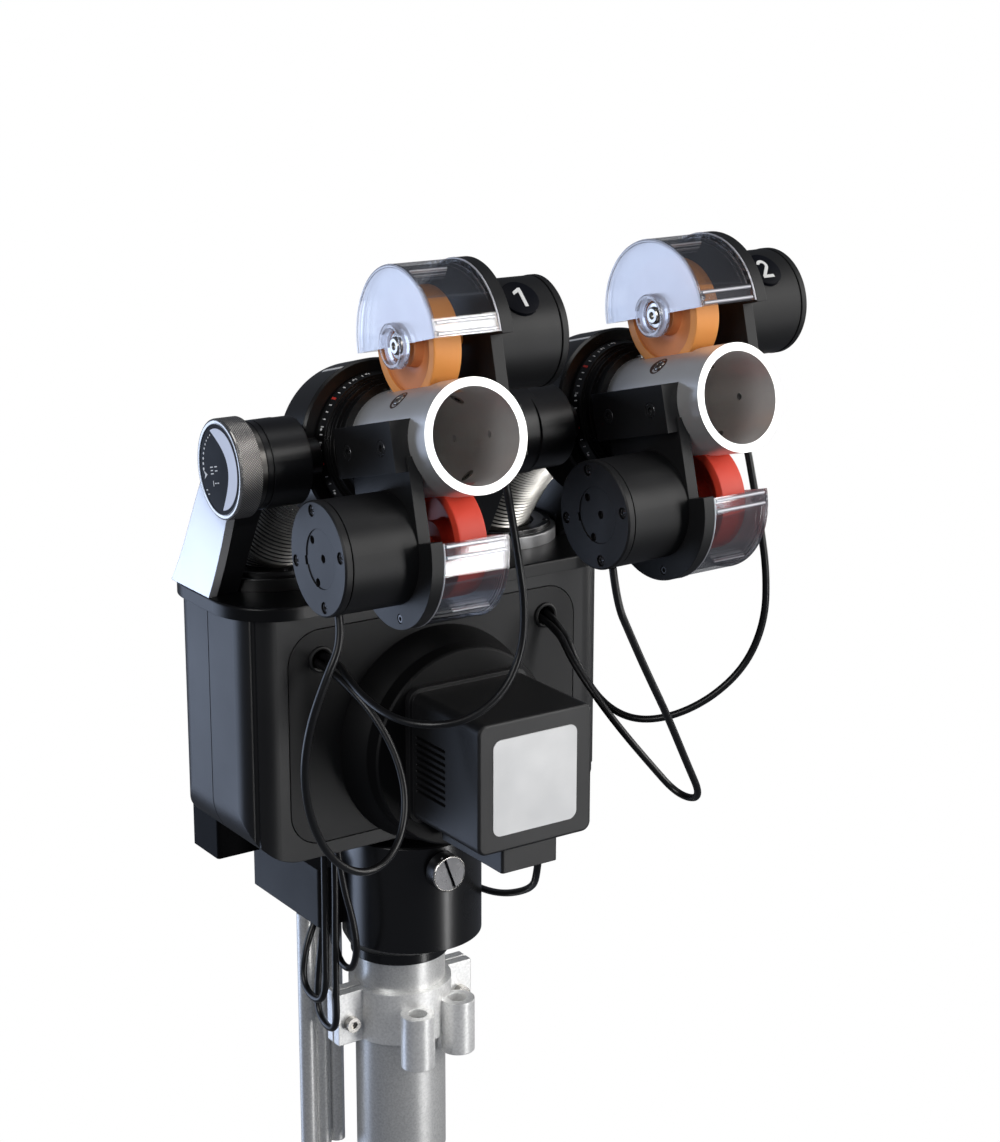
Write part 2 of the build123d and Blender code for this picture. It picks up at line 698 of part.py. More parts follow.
# ---------------------------------------------------------------- cords
def bend_radii(pts):
    """Radius at each inner point: 0.45 of the shorter run over tan(half the turn)."""
    v = [Vector(*p) for p in pts]
    out = []
    for a, b, c in zip(v, v[1:], v[2:]):
        u, w = b - a, c - b
        turn = acos(max(-1.0, min(1.0, u.dot(w) / (u.length * w.length))))
        out.append(0.45 * min(u.length, w.length) / tan(turn / 2))
    return out


def make_cord(name, pts, d=CORD_D):
    radii = bend_radii(pts)
    with BuildPart() as cord:
        with BuildLine() as path:
            FilletPolyline(*pts, radius=radii)
        route = path.wire()
        with BuildSketch(Plane(origin=route @ 0, z_dir=route % 0)):
            Circle(d / 2)
        sweep()
    want = pi * d * d / 4 * route.length
    print(f"{name}: length {route.length:.1f}, tightest radius {min(radii):.1f}, "
          f"volume {cord.part.volume:.0f} of {want:.0f}")
    save(cord.part, name)


def head_point(i, x, h, s):
    p = HEADS[i].from_local_coords((x, h, s))
    return (p.X, p.Y, p.Z)


CORDS = {
    "motor_cord_1a": [
        head_point(1, -58, -70.5, 47.5), head_point(1, -58, -82, 47.5),
        (-139.5, -167.0, 346.0), (-144.4, -160.0, 322.4), (-142.4, -150.0, 296.6),
        (-133.1, -140.0, 267.1), (-115.5, -130.0, 240.2), (-91.7, -121.0, 225.3),
        (-69.8, -112.0, 229.5), (-58.8, -104.0, 248.5), (-58.3, -96.0, 270.0),
        (-63.9, -84.0, 289.8), (-69.7, -70.0, 301.6), (-71.2, -54.0, 306.2), (-71.2, -36.0, 307.2),
    ],
    "motor_cord_1b": [
        head_point(1, 38, 19.0, 40), head_point(1, 38, 2, 41), head_point(1, 38, -22, 44),
        (-27.5, -148.0, 400.8), (-22.9, -147.5, 377.9), (-18.6, -146.5, 355.0),
        (-19.6, -146.0, 332.8), (-29.3, -145.5, 313.5), (-46.2, -141.5, 301.6),
        (-62.3, -131.0, 298.4), (-72.0, -115.0, 299.0), (-75.5, -94.0, 303.4),
        (-73.0, -71.0, 308.9), (-67.0, -54.0, 310.0), (-66.9, -36.0, 309.6),
    ],
    "motor_cord_2a": [
        head_point(2, -58, -70.5, 47.5), head_point(2, -57, -88, 45.5),
        (26.8, -168.5, 339.6), (41.9, -162.5, 316.1), (61.6, -155.0, 287.1),
        (81.5, -146.0, 256.0), (97.4, -140.5, 230.0), (97.6, -120.0, 225.5),
        (85.0, -110.0, 244.0), (75.1, -99.5, 260.3), (68.1, -86.0, 276.5),
        (64.8, -69.0, 292.5), (66.6, -54.0, 305.0), (66.8, -36.0, 307.2),
    ],
    "motor_cord_2b": [
        head_point(2, 38, 19.0, 40), head_point(2, 38, 2, 41), head_point(2, 38, -22, 44),
        (119.0, -148.0, 394.6), (125.6, -146.5, 372.1), (132.5, -144.0, 347.0),
        (136.0, -140.0, 319.9), (130.8, -133.0, 295.2), (116.2, -124.0, 277.4),
        (98.1, -113.0, 266.7), (84.8, -98.0, 263.0), (76.9, -82.0, 268.6),
        (73.1, -66.0, 283.5), (71.7, -53.0, 303.0), (71.1, -36.0, 309.6),
    ],
    "feed_cord_1": [
        (-58.1, -20.0, 201.4), (-58.4, -20.6, 176.0), (-58.8, -20.7, 146.0), (-58.9, -20.5, 107.0),
        (-58.6, 6.0, 107.0), (-54.5, 8.5, 131.0), (-47.8, 10.5, 140.8),
    ],
    "feed_cord_2": [
        (-49.7, -16.0, 201.4), (-50.8, -18.6, 175.0), (-52.0, -19.6, 146.0), (-52.4, -19.8, 118.0),
        (-52.0, -19.8, 88.0), (-49.2, 6.6, 88.0), (-48.2, 6.6, 115.0), (-45.2, 5.0, 141.8),
    ],
    "feed_cord_3": [
        (-54.6, -27.5, 200.8), (-53.6, -31.0, 180.0), (-50.4, -36.0, 160.0), (-48.4, -36.5, 142.0),
        (-46.8, -27.0, 126.5), (-44.5, -8.0, 126.0), (-40.5, 5.0, 139.8),
    ],
    "switch_cord": [
        (14.0, -113.0, 209.8), (15.5, -109.0, 195.0), (26.0, -90.0, 180.5), (33.5, -68.0, 168.0),
        (39.0, -44.0, 157.0), (43.0, -20.0, 149.5), (43.5, 4.0, 147.5), (34.0, 25.0, 148.5),
        (14.5, 38.0, 152.5), (-9.4, 41.5, 157.0),
    ],
}


# ---------------------------------------------------------------- build everything
make_post()
make_collar()
make_lock_screw()
make_clamp()
make_feed()
save(casing_body(True), "casing_front")
save(casing_body(False), "casing_rear")
make_lid()
make_exit_ring("exit_ring_1", -1)
make_exit_ring("exit_ring_2", 1)
make_front_panel()
make_boss()
make_drive_box()
make_rear_box()
make_rotor()
make_side_arm("arm_left", "arm_cover_left", -1)
make_side_arm("arm_right", "arm_cover_right", 1)
make_centre_arm()
for i in (1, 2):
    make_bellows(i)
    make_knob(i)
    make_ring(i)
    make_scale_ring(i)
    make_barrel(i)
    for where, s in (("top", 1), ("bottom", -1)):
        make_bracket(i, f"bracket_{i}_{where}", s)
        make_motor(i, f"motor_{i}_{where}", s)
        make_cover(i, f"cover_{i}_{where}", s)
        make_wheel(i, f"wheel_{i}_{where}", s)
for name, pts in CORDS.items():
    make_cord(name, pts)
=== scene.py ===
import json
import math

import bmesh
import bpy
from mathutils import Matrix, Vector

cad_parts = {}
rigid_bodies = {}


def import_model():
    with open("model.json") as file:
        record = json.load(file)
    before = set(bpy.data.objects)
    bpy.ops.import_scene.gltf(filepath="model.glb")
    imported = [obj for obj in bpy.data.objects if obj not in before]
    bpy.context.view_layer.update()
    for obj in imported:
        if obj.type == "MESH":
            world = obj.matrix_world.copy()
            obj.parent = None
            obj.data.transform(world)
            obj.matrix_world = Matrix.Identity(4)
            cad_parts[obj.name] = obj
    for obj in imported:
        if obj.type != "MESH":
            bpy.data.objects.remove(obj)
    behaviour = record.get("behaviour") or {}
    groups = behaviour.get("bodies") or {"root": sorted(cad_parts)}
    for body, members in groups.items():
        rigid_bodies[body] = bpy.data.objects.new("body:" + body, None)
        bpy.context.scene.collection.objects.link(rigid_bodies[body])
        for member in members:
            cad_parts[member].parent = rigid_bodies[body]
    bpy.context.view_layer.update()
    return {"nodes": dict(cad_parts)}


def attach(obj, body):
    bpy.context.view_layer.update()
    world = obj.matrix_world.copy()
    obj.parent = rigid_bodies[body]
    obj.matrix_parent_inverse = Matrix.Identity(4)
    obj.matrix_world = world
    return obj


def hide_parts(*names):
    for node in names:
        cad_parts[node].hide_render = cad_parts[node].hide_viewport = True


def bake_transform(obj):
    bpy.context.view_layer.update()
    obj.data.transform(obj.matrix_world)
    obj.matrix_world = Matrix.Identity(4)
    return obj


# The scene starts empty, and the frame's nodes keep their places: only their materials are set.
bpy.ops.object.select_all(action="SELECT")
bpy.ops.object.delete()
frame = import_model()
NODES = frame["nodes"]
MM = 0.001

# Driving sizes of a head and the lid, in millimetres and degrees. A head's own frame has its
# origin in the middle of the tilting ring, x across, y up and z along the barrel to the muzzle.
HEAD_AT = (70.8, -104.0, 430.0)
HEAD_PITCH, HEAD_TOE_OUT = 14.5, 2.3
AXLE_UP, AXLE_AHEAD = 44.5, 47.5
BARREL_R = 26.0
OUTLET_X, OUTLET_Y = 70.0, 12.0


# ---------------------------------------------------------------- camera
CAM_AT = (-0.6441, -1.0483, 0.6838)
CAM_AZIMUTH, CAM_ELEVATION = -33.69, 15.41
CAM_LENS = 76.2778


def look(az, el):
    """Direction of view of a camera at this azimuth and elevation, in degrees."""
    a, e = math.radians(az), math.radians(el)
    return -Vector((math.sin(a) * math.cos(e), -math.cos(a) * math.cos(e), math.sin(e)))


cam_data = bpy.data.cameras.new("camera")
cam = bpy.data.objects.new("camera", cam_data)
bpy.context.scene.collection.objects.link(cam)
cam.location = CAM_AT
cam.rotation_mode = "QUATERNION"
cam.rotation_quaternion = look(CAM_AZIMUTH, CAM_ELEVATION).to_track_quat("-Z", "Y")
cam_data.sensor_fit = "AUTO"
cam_data.sensor_width = 36
cam_data.lens = CAM_LENS
cam_data.shift_x = 0.0156
cam_data.shift_y = -0.0168
cam_data.clip_start, cam_data.clip_end = 0.05, 60
bpy.context.scene.camera = cam


# ---------------------------------------------------------------- node helpers for materials
class Mat:
    """A Principled material with a few procedural layers added by its methods."""

    def __init__(self, name, color, rough=0.5, metal=0.0, coat=0.0, coat_rough=0.1, spec=0.5):
        self.m = bpy.data.materials.new(name)
        self.m.use_nodes = True
        self.t = self.m.node_tree
        self.b = self.t.nodes["Principled BSDF"]
        self.color = (*color, 1.0)
        self.rough = rough
        self.b.inputs["Base Color"].default_value = self.color
        self.b.inputs["Roughness"].default_value = rough
        self.b.inputs["Metallic"].default_value = metal
        self.b.inputs["Specular IOR Level"].default_value = spec
        self.b.inputs["Coat Weight"].default_value = coat
        self.b.inputs["Coat Roughness"].default_value = coat_rough
        self.m.diffuse_color = self.color

    def new(self, kind, **sets):
        n = self.t.nodes.new(kind)
        for k, v in sets.items():
            setattr(n, k, v)
        return n

    def link(self, a, b):
        self.t.links.new(a, b)

    def coords(self):
        return self.new("ShaderNodeTexCoord").outputs["Object"]

    def noise(self, scale, detail=3.0, stretch=(1, 1, 1), rough=0.55):
        mp = self.new("ShaderNodeMapping")
        mp.inputs["Scale"].default_value = stretch
        self.link(self.coords(), mp.inputs["Vector"])
        n = self.new("ShaderNodeTexNoise")
        n.inputs["Scale"].default_value = scale
        n.inputs["Detail"].default_value = detail
        n.inputs["Roughness"].default_value = rough
        self.link(mp.outputs["Vector"], n.inputs["Vector"])
        return n.outputs["Fac"]

    def spread(self, fac, low, high, a=0.3, b=0.7):
        r = self.new("ShaderNodeMapRange")
        r.inputs["From Min"].default_value, r.inputs["From Max"].default_value = a, b
        r.inputs["To Min"].default_value, r.inputs["To Max"].default_value = low, high
        self.link(fac, r.inputs["Value"])
        return r.outputs["Result"]

    def vary_rough(self, scale, amount, stretch=(1, 1, 1)):
        f = self.noise(scale, 4.0, stretch)
        self.link(self.spread(f, self.rough - amount, self.rough + amount), self.b.inputs["Roughness"])
        return self

    def vary_color(self, scale, other, stretch=(1, 1, 1), a=0.35, b=0.7):
        mix = self.new("ShaderNodeMix", data_type="RGBA")
        mix.inputs["A"].default_value = self.color
        mix.inputs["B"].default_value = (*other, 1.0)
        self.link(self.spread(self.noise(scale, 4.0, stretch), 0, 1, a, b), mix.inputs["Factor"])
        self.link(mix.outputs["Result"], self.b.inputs["Base Color"])
        return self

    def diamonds(self, strength, distance):
        """Cross knurl: two families of slanting grooves in the mesh's own UVs, one groove per unit.
        The base colour is darkened in the grooves as painted shade and lightened on the crests.
        """
        axes = self.new("ShaderNodeSeparateXYZ")
        self.link(self.new("ShaderNodeTexCoord").outputs["UV"], axes.inputs["Vector"])
        waves = []
        for op in ("ADD", "SUBTRACT"):
            n = self.new("ShaderNodeMath", operation=op)
            self.link(axes.outputs["X"], n.inputs[0])
            self.link(axes.outputs["Y"], n.inputs[1])
            w = self.new("ShaderNodeMath", operation="PINGPONG")
            w.inputs[1].default_value = 0.5
            self.link(n.outputs["Value"], w.inputs[0])
            waves.append(w.outputs["Value"])
        low = self.new("ShaderNodeMath", operation="MINIMUM")
        self.link(waves[0], low.inputs[0])
        self.link(waves[1], low.inputs[1])
        bump = self.new("ShaderNodeBump")
        bump.inputs["Strength"].default_value = strength
        bump.inputs["Distance"].default_value = distance
        self.link(low.outputs["Value"], bump.inputs["Height"])
        self.link(bump.outputs["Normal"], self.b.inputs["Normal"])
        # Darker in the grooves as painted shade, lighter on the crests.
        mix = self.new("ShaderNodeMix", data_type="RGBA")
        mix.inputs["A"].default_value = tuple(c * 0.22 for c in self.color[:3]) + (1.0,)
        mix.inputs["B"].default_value = tuple(c * 1.35 for c in self.color[:3]) + (1.0,)
        self.link(self.spread(low.outputs["Value"], 0, 1, 0.0, 0.3), mix.inputs["Factor"])
        self.link(mix.outputs["Result"], self.b.inputs["Base Color"])
        return self

    def grain(self, scale, strength, distance=0.0001, stretch=(1, 1, 1), edge=0.0):
        """Fine bump, with a rounded look on the edges if edge (a radius) is given."""
        bump = self.new("ShaderNodeBump")
        bump.inputs["Strength"].default_value = strength
        bump.inputs["Distance"].default_value = distance
        self.link(self.noise(scale, 2.0, stretch), bump.inputs["Height"])
        if edge:
            bevel = self.new("ShaderNodeBevel", samples=4)
            bevel.inputs["Radius"].default_value = edge
            self.link(bevel.outputs["Normal"], bump.inputs["Normal"])
        self.link(bump.outputs["Normal"], self.b.inputs["Normal"])
        return self


def clear_plastic(name, band, plate):
    """Thin polycarbonate; band and plate are how milky the curved band and the flat end look. The flat
    end's milky white is partly haze and partly painted reflection of a lamp.
    """
    k = Mat(name, (0.95, 0.96, 0.98), 0.06)
    clear = k.new("ShaderNodeBsdfTransparent")
    clear.inputs["Color"].default_value = (0.93, 0.935, 0.95, 1)
    gloss = k.new("ShaderNodeBsdfGlossy")
    gloss.inputs["Roughness"].default_value = 0.04
    haze_and_glare = k.new("ShaderNodeMixShader")
    haze_and_glare.inputs["Fac"].default_value = 0.5
    milk_and_glare = k.new("ShaderNodeBsdfDiffuse")
    milk_and_glare.inputs["Color"].default_value = (0.93, 0.93, 0.99, 1)
    sheen = k.new("ShaderNodeBsdfGlossy")
    sheen.inputs["Color"].default_value = (0.93, 0.93, 0.99, 1)
    sheen.inputs["Roughness"].default_value = 0.38
    k.link(milk_and_glare.outputs["BSDF"], haze_and_glare.inputs[1])
    k.link(sheen.outputs["BSDF"], haze_and_glare.inputs[2])
    facing = k.new("ShaderNodeLayerWeight")
    facing.inputs["Blend"].default_value = 0.30
    axes = k.new("ShaderNodeSeparateXYZ")
    k.link(k.new("ShaderNodeTexCoord").outputs["Normal"], axes.inputs["Vector"])
    size = k.new("ShaderNodeMath", operation="ABSOLUTE")
    k.link(axes.outputs["X"], size.inputs[0])
    # The flat ends take the plate's milk: partly haze, partly painted reflection of a lamp.
    flat = k.spread(size.outputs["Value"], band, plate, 0.9, 0.97)
    cloud = k.new("ShaderNodeMath", operation="MULTIPLY")
    k.link(flat, cloud.inputs[0])
    k.link(k.spread(k.noise(14, 3), 0.85, 1.15), cloud.inputs[1])
    hz = k.new("ShaderNodeMixShader")
    k.link(cloud.outputs["Value"], hz.inputs["Fac"])
    k.link(clear.outputs["BSDF"], hz.inputs[1])
    k.link(haze_and_glare.outputs["Shader"], hz.inputs[2])
    mix = k.new("ShaderNodeMixShader")
    k.link(k.spread(facing.outputs["Fresnel"], 0.035, 0.75, 0.0, 1.0), mix.inputs["Fac"])
    k.link(hz.outputs["Shader"], mix.inputs[1])
    k.link(gloss.outputs["BSDF"], mix.inputs[2])
    k.link(mix.outputs["Shader"], k.t.nodes["Material Output"].inputs["Surface"])
    k.m.diffuse_color = (0.9, 0.92, 0.95, 0.3)
    return k


M = {
    "casing": Mat("casing_black", (0.0060, 0.0062, 0.0070), 0.42, spec=0.38)
    .vary_rough(9, 0.05).grain(2600, 0.22, 0.00006, edge=0.0006),
    "panel": Mat("panel_black", (0.0065, 0.0065, 0.0070), 0.46, spec=0.30)
    .vary_rough(11, 0.05).grain(2400, 0.25, 0.00006, edge=0.0004),
    "lid": Mat("lid_gloss_black", (0.0022, 0.0022, 0.0026), 0.33, spec=0.26)
    .vary_rough(14, 0.03).grain(600, 0.04, 0.00004, edge=0.0005),
    "collar": Mat("collar_black", (0.0030, 0.0030, 0.0035), 0.28, spec=0.55, coat=0.1, coat_rough=0.15)
    .vary_rough(12, 0.04).grain(900, 0.06, 0.00004, edge=0.0005),
    # Darker black of the boss; on the feed box it is painted shade.
    "boss": Mat("boss_black_and_painted_shade", (0.0028, 0.0028, 0.0032), 0.50, spec=0.22)
    .vary_rough(10, 0.06).grain(1900, 0.3, 0.00008, edge=0.0006),
    # Rear box: near-black with little specular, painted shade where the box sits in shadow.
    "shade": Mat("rear_box_painted_shade", (0.0015, 0.0016, 0.0022), 0.6, spec=0.06)
    .vary_rough(10, 0.05).grain(1900, 0.3, 0.00008, edge=0.0006),
    "box": Mat("box_black", (0.0080, 0.0080, 0.0086), 0.46, spec=0.46)
    .vary_rough(8, 0.05).grain(1700, 0.3, 0.00008, edge=0.0006),
    "motor": Mat("motor_black", (0.0060, 0.0060, 0.0065), 0.48, spec=0.34)
    .vary_rough(16, 0.05).grain(3000, 0.22, 0.00005, edge=0.0004),
    "arm": Mat("arm_black", (0.0050, 0.0050, 0.0058), 0.36, spec=0.38)
    .vary_rough(15, 0.05).grain(1500, 0.12, 0.00005, edge=0.0008),
    # Black of the rings; on exit_ring_1 it is painted shade.
    "ring": Mat("ring_black_and_painted_shade", (0.0040, 0.0038, 0.0038), 0.30, spec=0.38, coat=0.08, coat_rough=0.2)
    .vary_rough(20, 0.05).grain(1500, 0.08, 0.00004, edge=0.0005),
    "post": Mat("post_silver", (0.80, 0.80, 0.79), 0.38, metal=0.72)
    .vary_rough(30, 0.06, (1, 1, 0.05)).vary_color(900, (0.62, 0.62, 0.61))
    .grain(1800, 0.2, 0.00005, edge=0.0004),
    "cast": Mat("clamp_silver", (0.95, 0.95, 0.94), 0.42, metal=0.6)
    .vary_rough(40, 0.07).vary_color(700, (0.76, 0.76, 0.75)).grain(900, 0.2, 0.00006, edge=0.0008),
    "barrel": Mat("barrel_silver", (0.86, 0.86, 0.85), 0.40, metal=0.8)
    .vary_rough(30, 0.06).vary_color(30, (0.78, 0.775, 0.77)).grain(2500, 0.14, 0.00004, edge=0.0003),
    "chrome": Mat("arm_cover_chrome", (0.70, 0.70, 0.72), 0.24, metal=0.6, coat=0.3, coat_rough=0.06)
    .vary_rough(18, 0.05, (0.2, 1, 1)).grain(500, 0.05, 0.00005, (0.1, 1, 1), edge=0.0006),
    "satin": Mat("exit_ring_satin", (0.34, 0.34, 0.345), 0.42, metal=1.0)
    .vary_rough(30, 0.06).vary_color(40, (0.26, 0.26, 0.265)).grain(1500, 0.1, 0.00005, edge=0.0004),
    "steel": Mat("screw_steel", (0.55, 0.53, 0.50), 0.24, metal=1.0)
    .vary_rough(60, 0.07).vary_color(80, (0.38, 0.37, 0.35)).grain(1200, 0.1, 0.00004, edge=0.0003),
    "dark_steel": Mat("dark_screw", (0.075, 0.075, 0.078), 0.30, metal=0.85)
    .vary_rough(60, 0.06).grain(1200, 0.1, 0.00004, edge=0.0002),
    "knurl": Mat("knurled_steel", (0.50, 0.48, 0.455), 0.34, metal=1.0)
    .vary_rough(60, 0.06).diamonds(0.9, 0.00035),
    "bellows": Mat("bellows_silver", (0.56, 0.545, 0.51), 0.32, metal=0.9)
    .vary_rough(40, 0.08).vary_color(45, (0.42, 0.41, 0.38)).grain(1200, 0.1, 0.00005),
    "label": Mat("label_silver", (0.60, 0.605, 0.61), 0.42, metal=0.1)
    .vary_rough(35, 0.08).vary_color(22, (0.68, 0.68, 0.68)).grain(900, 0.2, 0.00003, (1, 1, 0.25)),
    "orange": Mat("wheel_orange", (0.86, 0.34, 0.075), 0.48, spec=0.4)
    .vary_rough(30, 0.06).vary_color(26, (0.78, 0.29, 0.06)).grain(1400, 0.25, 0.00008, edge=0.0005),
    "tan": Mat("wheel_face_tan", (0.72, 0.27, 0.10), 0.46, spec=0.35)
    .vary_rough(30, 0.06).vary_color(26, (0.62, 0.22, 0.08)).grain(1400, 0.2, 0.00006, edge=0.0005),
    "red": Mat("wheel_red", (0.74, 0.060, 0.030), 0.46, spec=0.4)
    .vary_rough(30, 0.06).vary_color(26, (0.64, 0.045, 0.022)).grain(1400, 0.25, 0.00008, edge=0.0005),
    "cord": Mat("cord_black", (0.0045, 0.0045, 0.005), 0.34, spec=0.45)
    .vary_rough(80, 0.05).grain(1500, 0.15, 0.00005),
    "rubber": Mat("rubber_black_and_groove_shade", (0.005, 0.005, 0.005), 0.55)
    .vary_rough(60, 0.05).grain(1500, 0.2, 0.00005),
    "white": Mat("mark_white", (0.75, 0.75, 0.74), 0.5).vary_rough(60, 0.05).grain(1500, 0.1, 0.00003),
    "pale": Mat("crescent_pale", (0.66, 0.69, 0.80), 0.4)
    .vary_rough(60, 0.05).grain(1500, 0.1, 0.00003),
    "reddot": Mat("mark_red", (0.55, 0.03, 0.02), 0.5).vary_rough(60, 0.05).grain(1500, 0.1, 0.00003),
    "dial": Mat("dial_black", (0.003, 0.0035, 0.006), 0.5, spec=0.08)
    .vary_rough(30, 0.05).grain(900, 0.1, 0.00003),
    # Dark brown discs round the barrel screws: painted shade of their wells.
    "well_shade": Mat("screw_well_shade", (0.045, 0.022, 0.014), 0.4)
    .vary_rough(60, 0.06).grain(1500, 0.15, 0.00004),
    "clear": clear_plastic("clear_plastic", 0.004, 0.38),
    "ledge": clear_plastic("clear_ledge", 0.02, 0.18),
    # Half-milky tubes on the covers: painted highlights where a lamp's reflections lie.
    "painted_glint": clear_plastic("clear_painted_glint", 0.50, 0.50),
}

NODE_MATS = {
    "casing": ("casing_front", "casing_rear"),
    "panel": ("front_panel",),
    "lid": ("lid",),
    "collar": ("collar",),
    # rear_box takes the darkest black as painted shade.
    "shade": ("rear_box",),
    # feed_box takes the darker boss black as painted shade.
    "boss": ("boss", "feed_box", "ball_rotor"),
    "box": ("drive_box", "switch_box"),
    "motor": tuple(
        f"{n}_{i}_{w}" for n in ("motor", "bracket") for i in (1, 2) for w in ("top", "bottom")
    ),
    "arm": ("arm_left", "arm_centre", "arm_right"),
    # exit_ring_1 takes the black ring material, unlike its twin exit_ring_2: painted shade.
    "ring": ("ring_1", "ring_2", "scale_ring_1", "scale_ring_2", "exit_ring_1"),
    "post": ("post", "fluted_profile"),
    "cast": ("clamp_front", "clamp_rear"),
    "barrel": ("barrel_1", "barrel_2"),
    "chrome": ("arm_cover_left", "arm_cover_right"),
    "satin": ("exit_ring_2",),
    "steel": ("clamp_screws",),
    "dark_steel": ("lock_screw",),
    "knurl": ("tilt_knob_1", "tilt_knob_2"),
    "label": ("drive_label",),
    "orange": ("wheel_1_top", "wheel_2_top"),
    "red": ("wheel_1_bottom", "wheel_2_bottom"),
    "clear": tuple(f"cover_{i}_{w}" for i in (1, 2) for w in ("top", "bottom")),
}
for key, names in NODE_MATS.items():
    for name in names:
        for material_slot in NODES[name].material_slots:
            material_slot.material = M[key].m


# ---------------------------------------------------------------- frames and mesh helpers
class Frame:
    """A local frame inside the shared one: origin, x and z given in millimetres, y worked out."""

    def __init__(self, origin, x, z):
        self.o, self.x, self.z = Vector(origin), Vector(x).normalized(), Vector(z).normalized()
        self.y = self.z.cross(self.x).normalized()

    def __call__(self, x, y, z):
        return (self.o + self.x * x + self.y * y + self.z * z) * MM

    def sub(self, x, y, z, zdir, xdir=None):
        """Frame at a local point, its z along a local direction."""
        d = self.x * zdir[0] + self.y * zdir[1] + self.z * zdir[2]
        if xdir is None:
            xdir = (0, 0, 1) if abs(zdir[2]) < 0.9 else (1, 0, 0)
        e = self.x * xdir[0] + self.y * xdir[1] + self.z * xdir[2]
        e = (e - d * e.dot(d) / d.dot(d)).normalized()
        return Frame(self.o + self.x * x + self.y * y + self.z * z, e, d)


def facing_front(x, y, z):
    return Frame((x, y, z), (1, 0, 0), (0, -1, 0))


def facing_up(x, y, z):
    return Frame((x, y, z), (1, 0, 0), (0, 0, 1))


def head_frame(i):
    side = SIDE[i]
    p, t = math.radians(HEAD_PITCH), math.radians(HEAD_TOE_OUT) * side
    return Frame(
        (side * HEAD_AT[0], HEAD_AT[1], HEAD_AT[2]),
        (math.cos(t), math.sin(t), 0),
        (math.sin(t) * math.cos(p), -math.cos(t) * math.cos(p), math.sin(p)),
    )


SIDE = {1: -1, 2: 1}
HEAD = {1: head_frame(1), 2: head_frame(2)}


def add(name, bm, mat, body, smooth=True, angle=35):
    """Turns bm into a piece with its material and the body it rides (if any)."""
    bmesh.ops.remove_doubles(bm, verts=bm.verts, dist=1e-7)
    bmesh.ops.recalc_face_normals(bm, faces=bm.faces)
    me = bpy.data.meshes.new(name)
    bm.to_mesh(me)
    bm.free()
    o = bpy.data.objects.new(name, me)
    bpy.context.scene.collection.objects.link(o)
    me.materials.append(M[mat].m)
    if smooth:
        me.shade_smooth()
        me.set_sharp_from_angle(angle=math.radians(angle))
    if body:
        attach(o, body)
    return o


def polar(r, a):
    return r * math.cos(a), r * math.sin(a)


def skin(bm, rings, n):
    """Faces between rings of n vertices each; a ring may also be a single vertex."""
    for a, b in zip(rings, rings[1:]):
        for k in range(n):
            quad = [a[k % len(a)], a[(k + 1) % len(a)], b[(k + 1) % len(b)], b[k % len(b)]]
            quad = list(dict.fromkeys(quad))
            if len(quad) > 2:
                bm.faces.new(quad)


def lathe(bm, f, profile, seg=64):
    """Surface of revolution about f's z; profile is a run of (z, radius) in mm."""
    rings = []
    for z, r in profile:
        angles = [2 * math.pi * k / seg for k in range(seg)] if r > 1e-6 else [0.0]
        rings.append([bm.verts.new(f(*polar(r, a), z)) for a in angles])
    skin(bm, rings, seg)


def turned(name, f, profile, seg, mat, body, angle=35):
    """A piece made of one surface of revolution."""
    bm = bmesh.new()
    lathe(bm, f, profile, seg)
    add(name, bm, mat, body, angle=angle)


def prism(bm, f, outline, z0, z1):
    """Outline of (x, y) in mm extruded between z0 and z1."""
    loops = [[bm.verts.new(f(*p, z)) for p in outline] for z in (z0, z1)]
    for loop in loops:
        bm.faces.new(loop)
    skin(bm, loops, len(outline))


def rect(x0, y0, x1, y1):
    return [(x0, y0), (x1, y0), (x1, y1), (x0, y1)]


def circle(r, n=24, cx=0.0, cy=0.0, a0=0.0, a1=360.0, close=True):
    """Outline of a circle, or of an arc with both its ends if close is false."""
    pts = []
    for k in range(n if close else n + 1):
        x, y = polar(r, math.radians(a0 + (a1 - a0) * k / n))
        pts.append((cx + x, cy + y))
    return pts


def socket_screw(bm, f, r, height=1.2, hexr=None):
    """Round head standing height above f's plane, with a hexagonal socket."""
    hexr = hexr or r * 0.52
    n = 48
    hexagon = [
        hexr * math.cos(math.pi / 6) / math.cos(((2 * math.pi * k / n) % (math.pi / 3)) - math.pi / 6)
        for k in range(n)
    ]
    levels = [(0.0, [r] * n), (height - 0.25, [r] * n), (height, [r - 0.25] * n),
              (height, hexagon), (height - 1.5, hexagon), (height - 1.8, [0.0])]
    rings = [
        [bm.verts.new(f(*polar(q, 2 * math.pi * k / n), z)) for k, q in enumerate(rs)]
        for z, rs in levels
    ]
    skin(bm, rings, n)


def cross_screw(bm, f, r, height=1.3):
    """Domed head with a cross recess, as a grid pushed down in a cross."""
    n, m, phase = 32, 9, math.pi / 8
    rings = []
    for j in range(m):
        q = r * (1 - j / (m - 1))
        ring = []
        for k in range(n if q > 1e-6 else 1):
            x, y = polar(q, 2 * math.pi * k / n + phase)
            z = height * (1 - (q / r) ** 3 * 0.55)
            if min(abs(x), abs(y)) < 0.16 * r and max(abs(x), abs(y)) < 0.62 * r:
                z -= 0.9
            ring.append(bm.verts.new(f(x, y, z)))
        rings.append(ring)
    base = [bm.verts.new(f(*polar(r, 2 * math.pi * k / n + phase), 0)) for k in range(n)]
    skin(bm, [base] + rings, n)


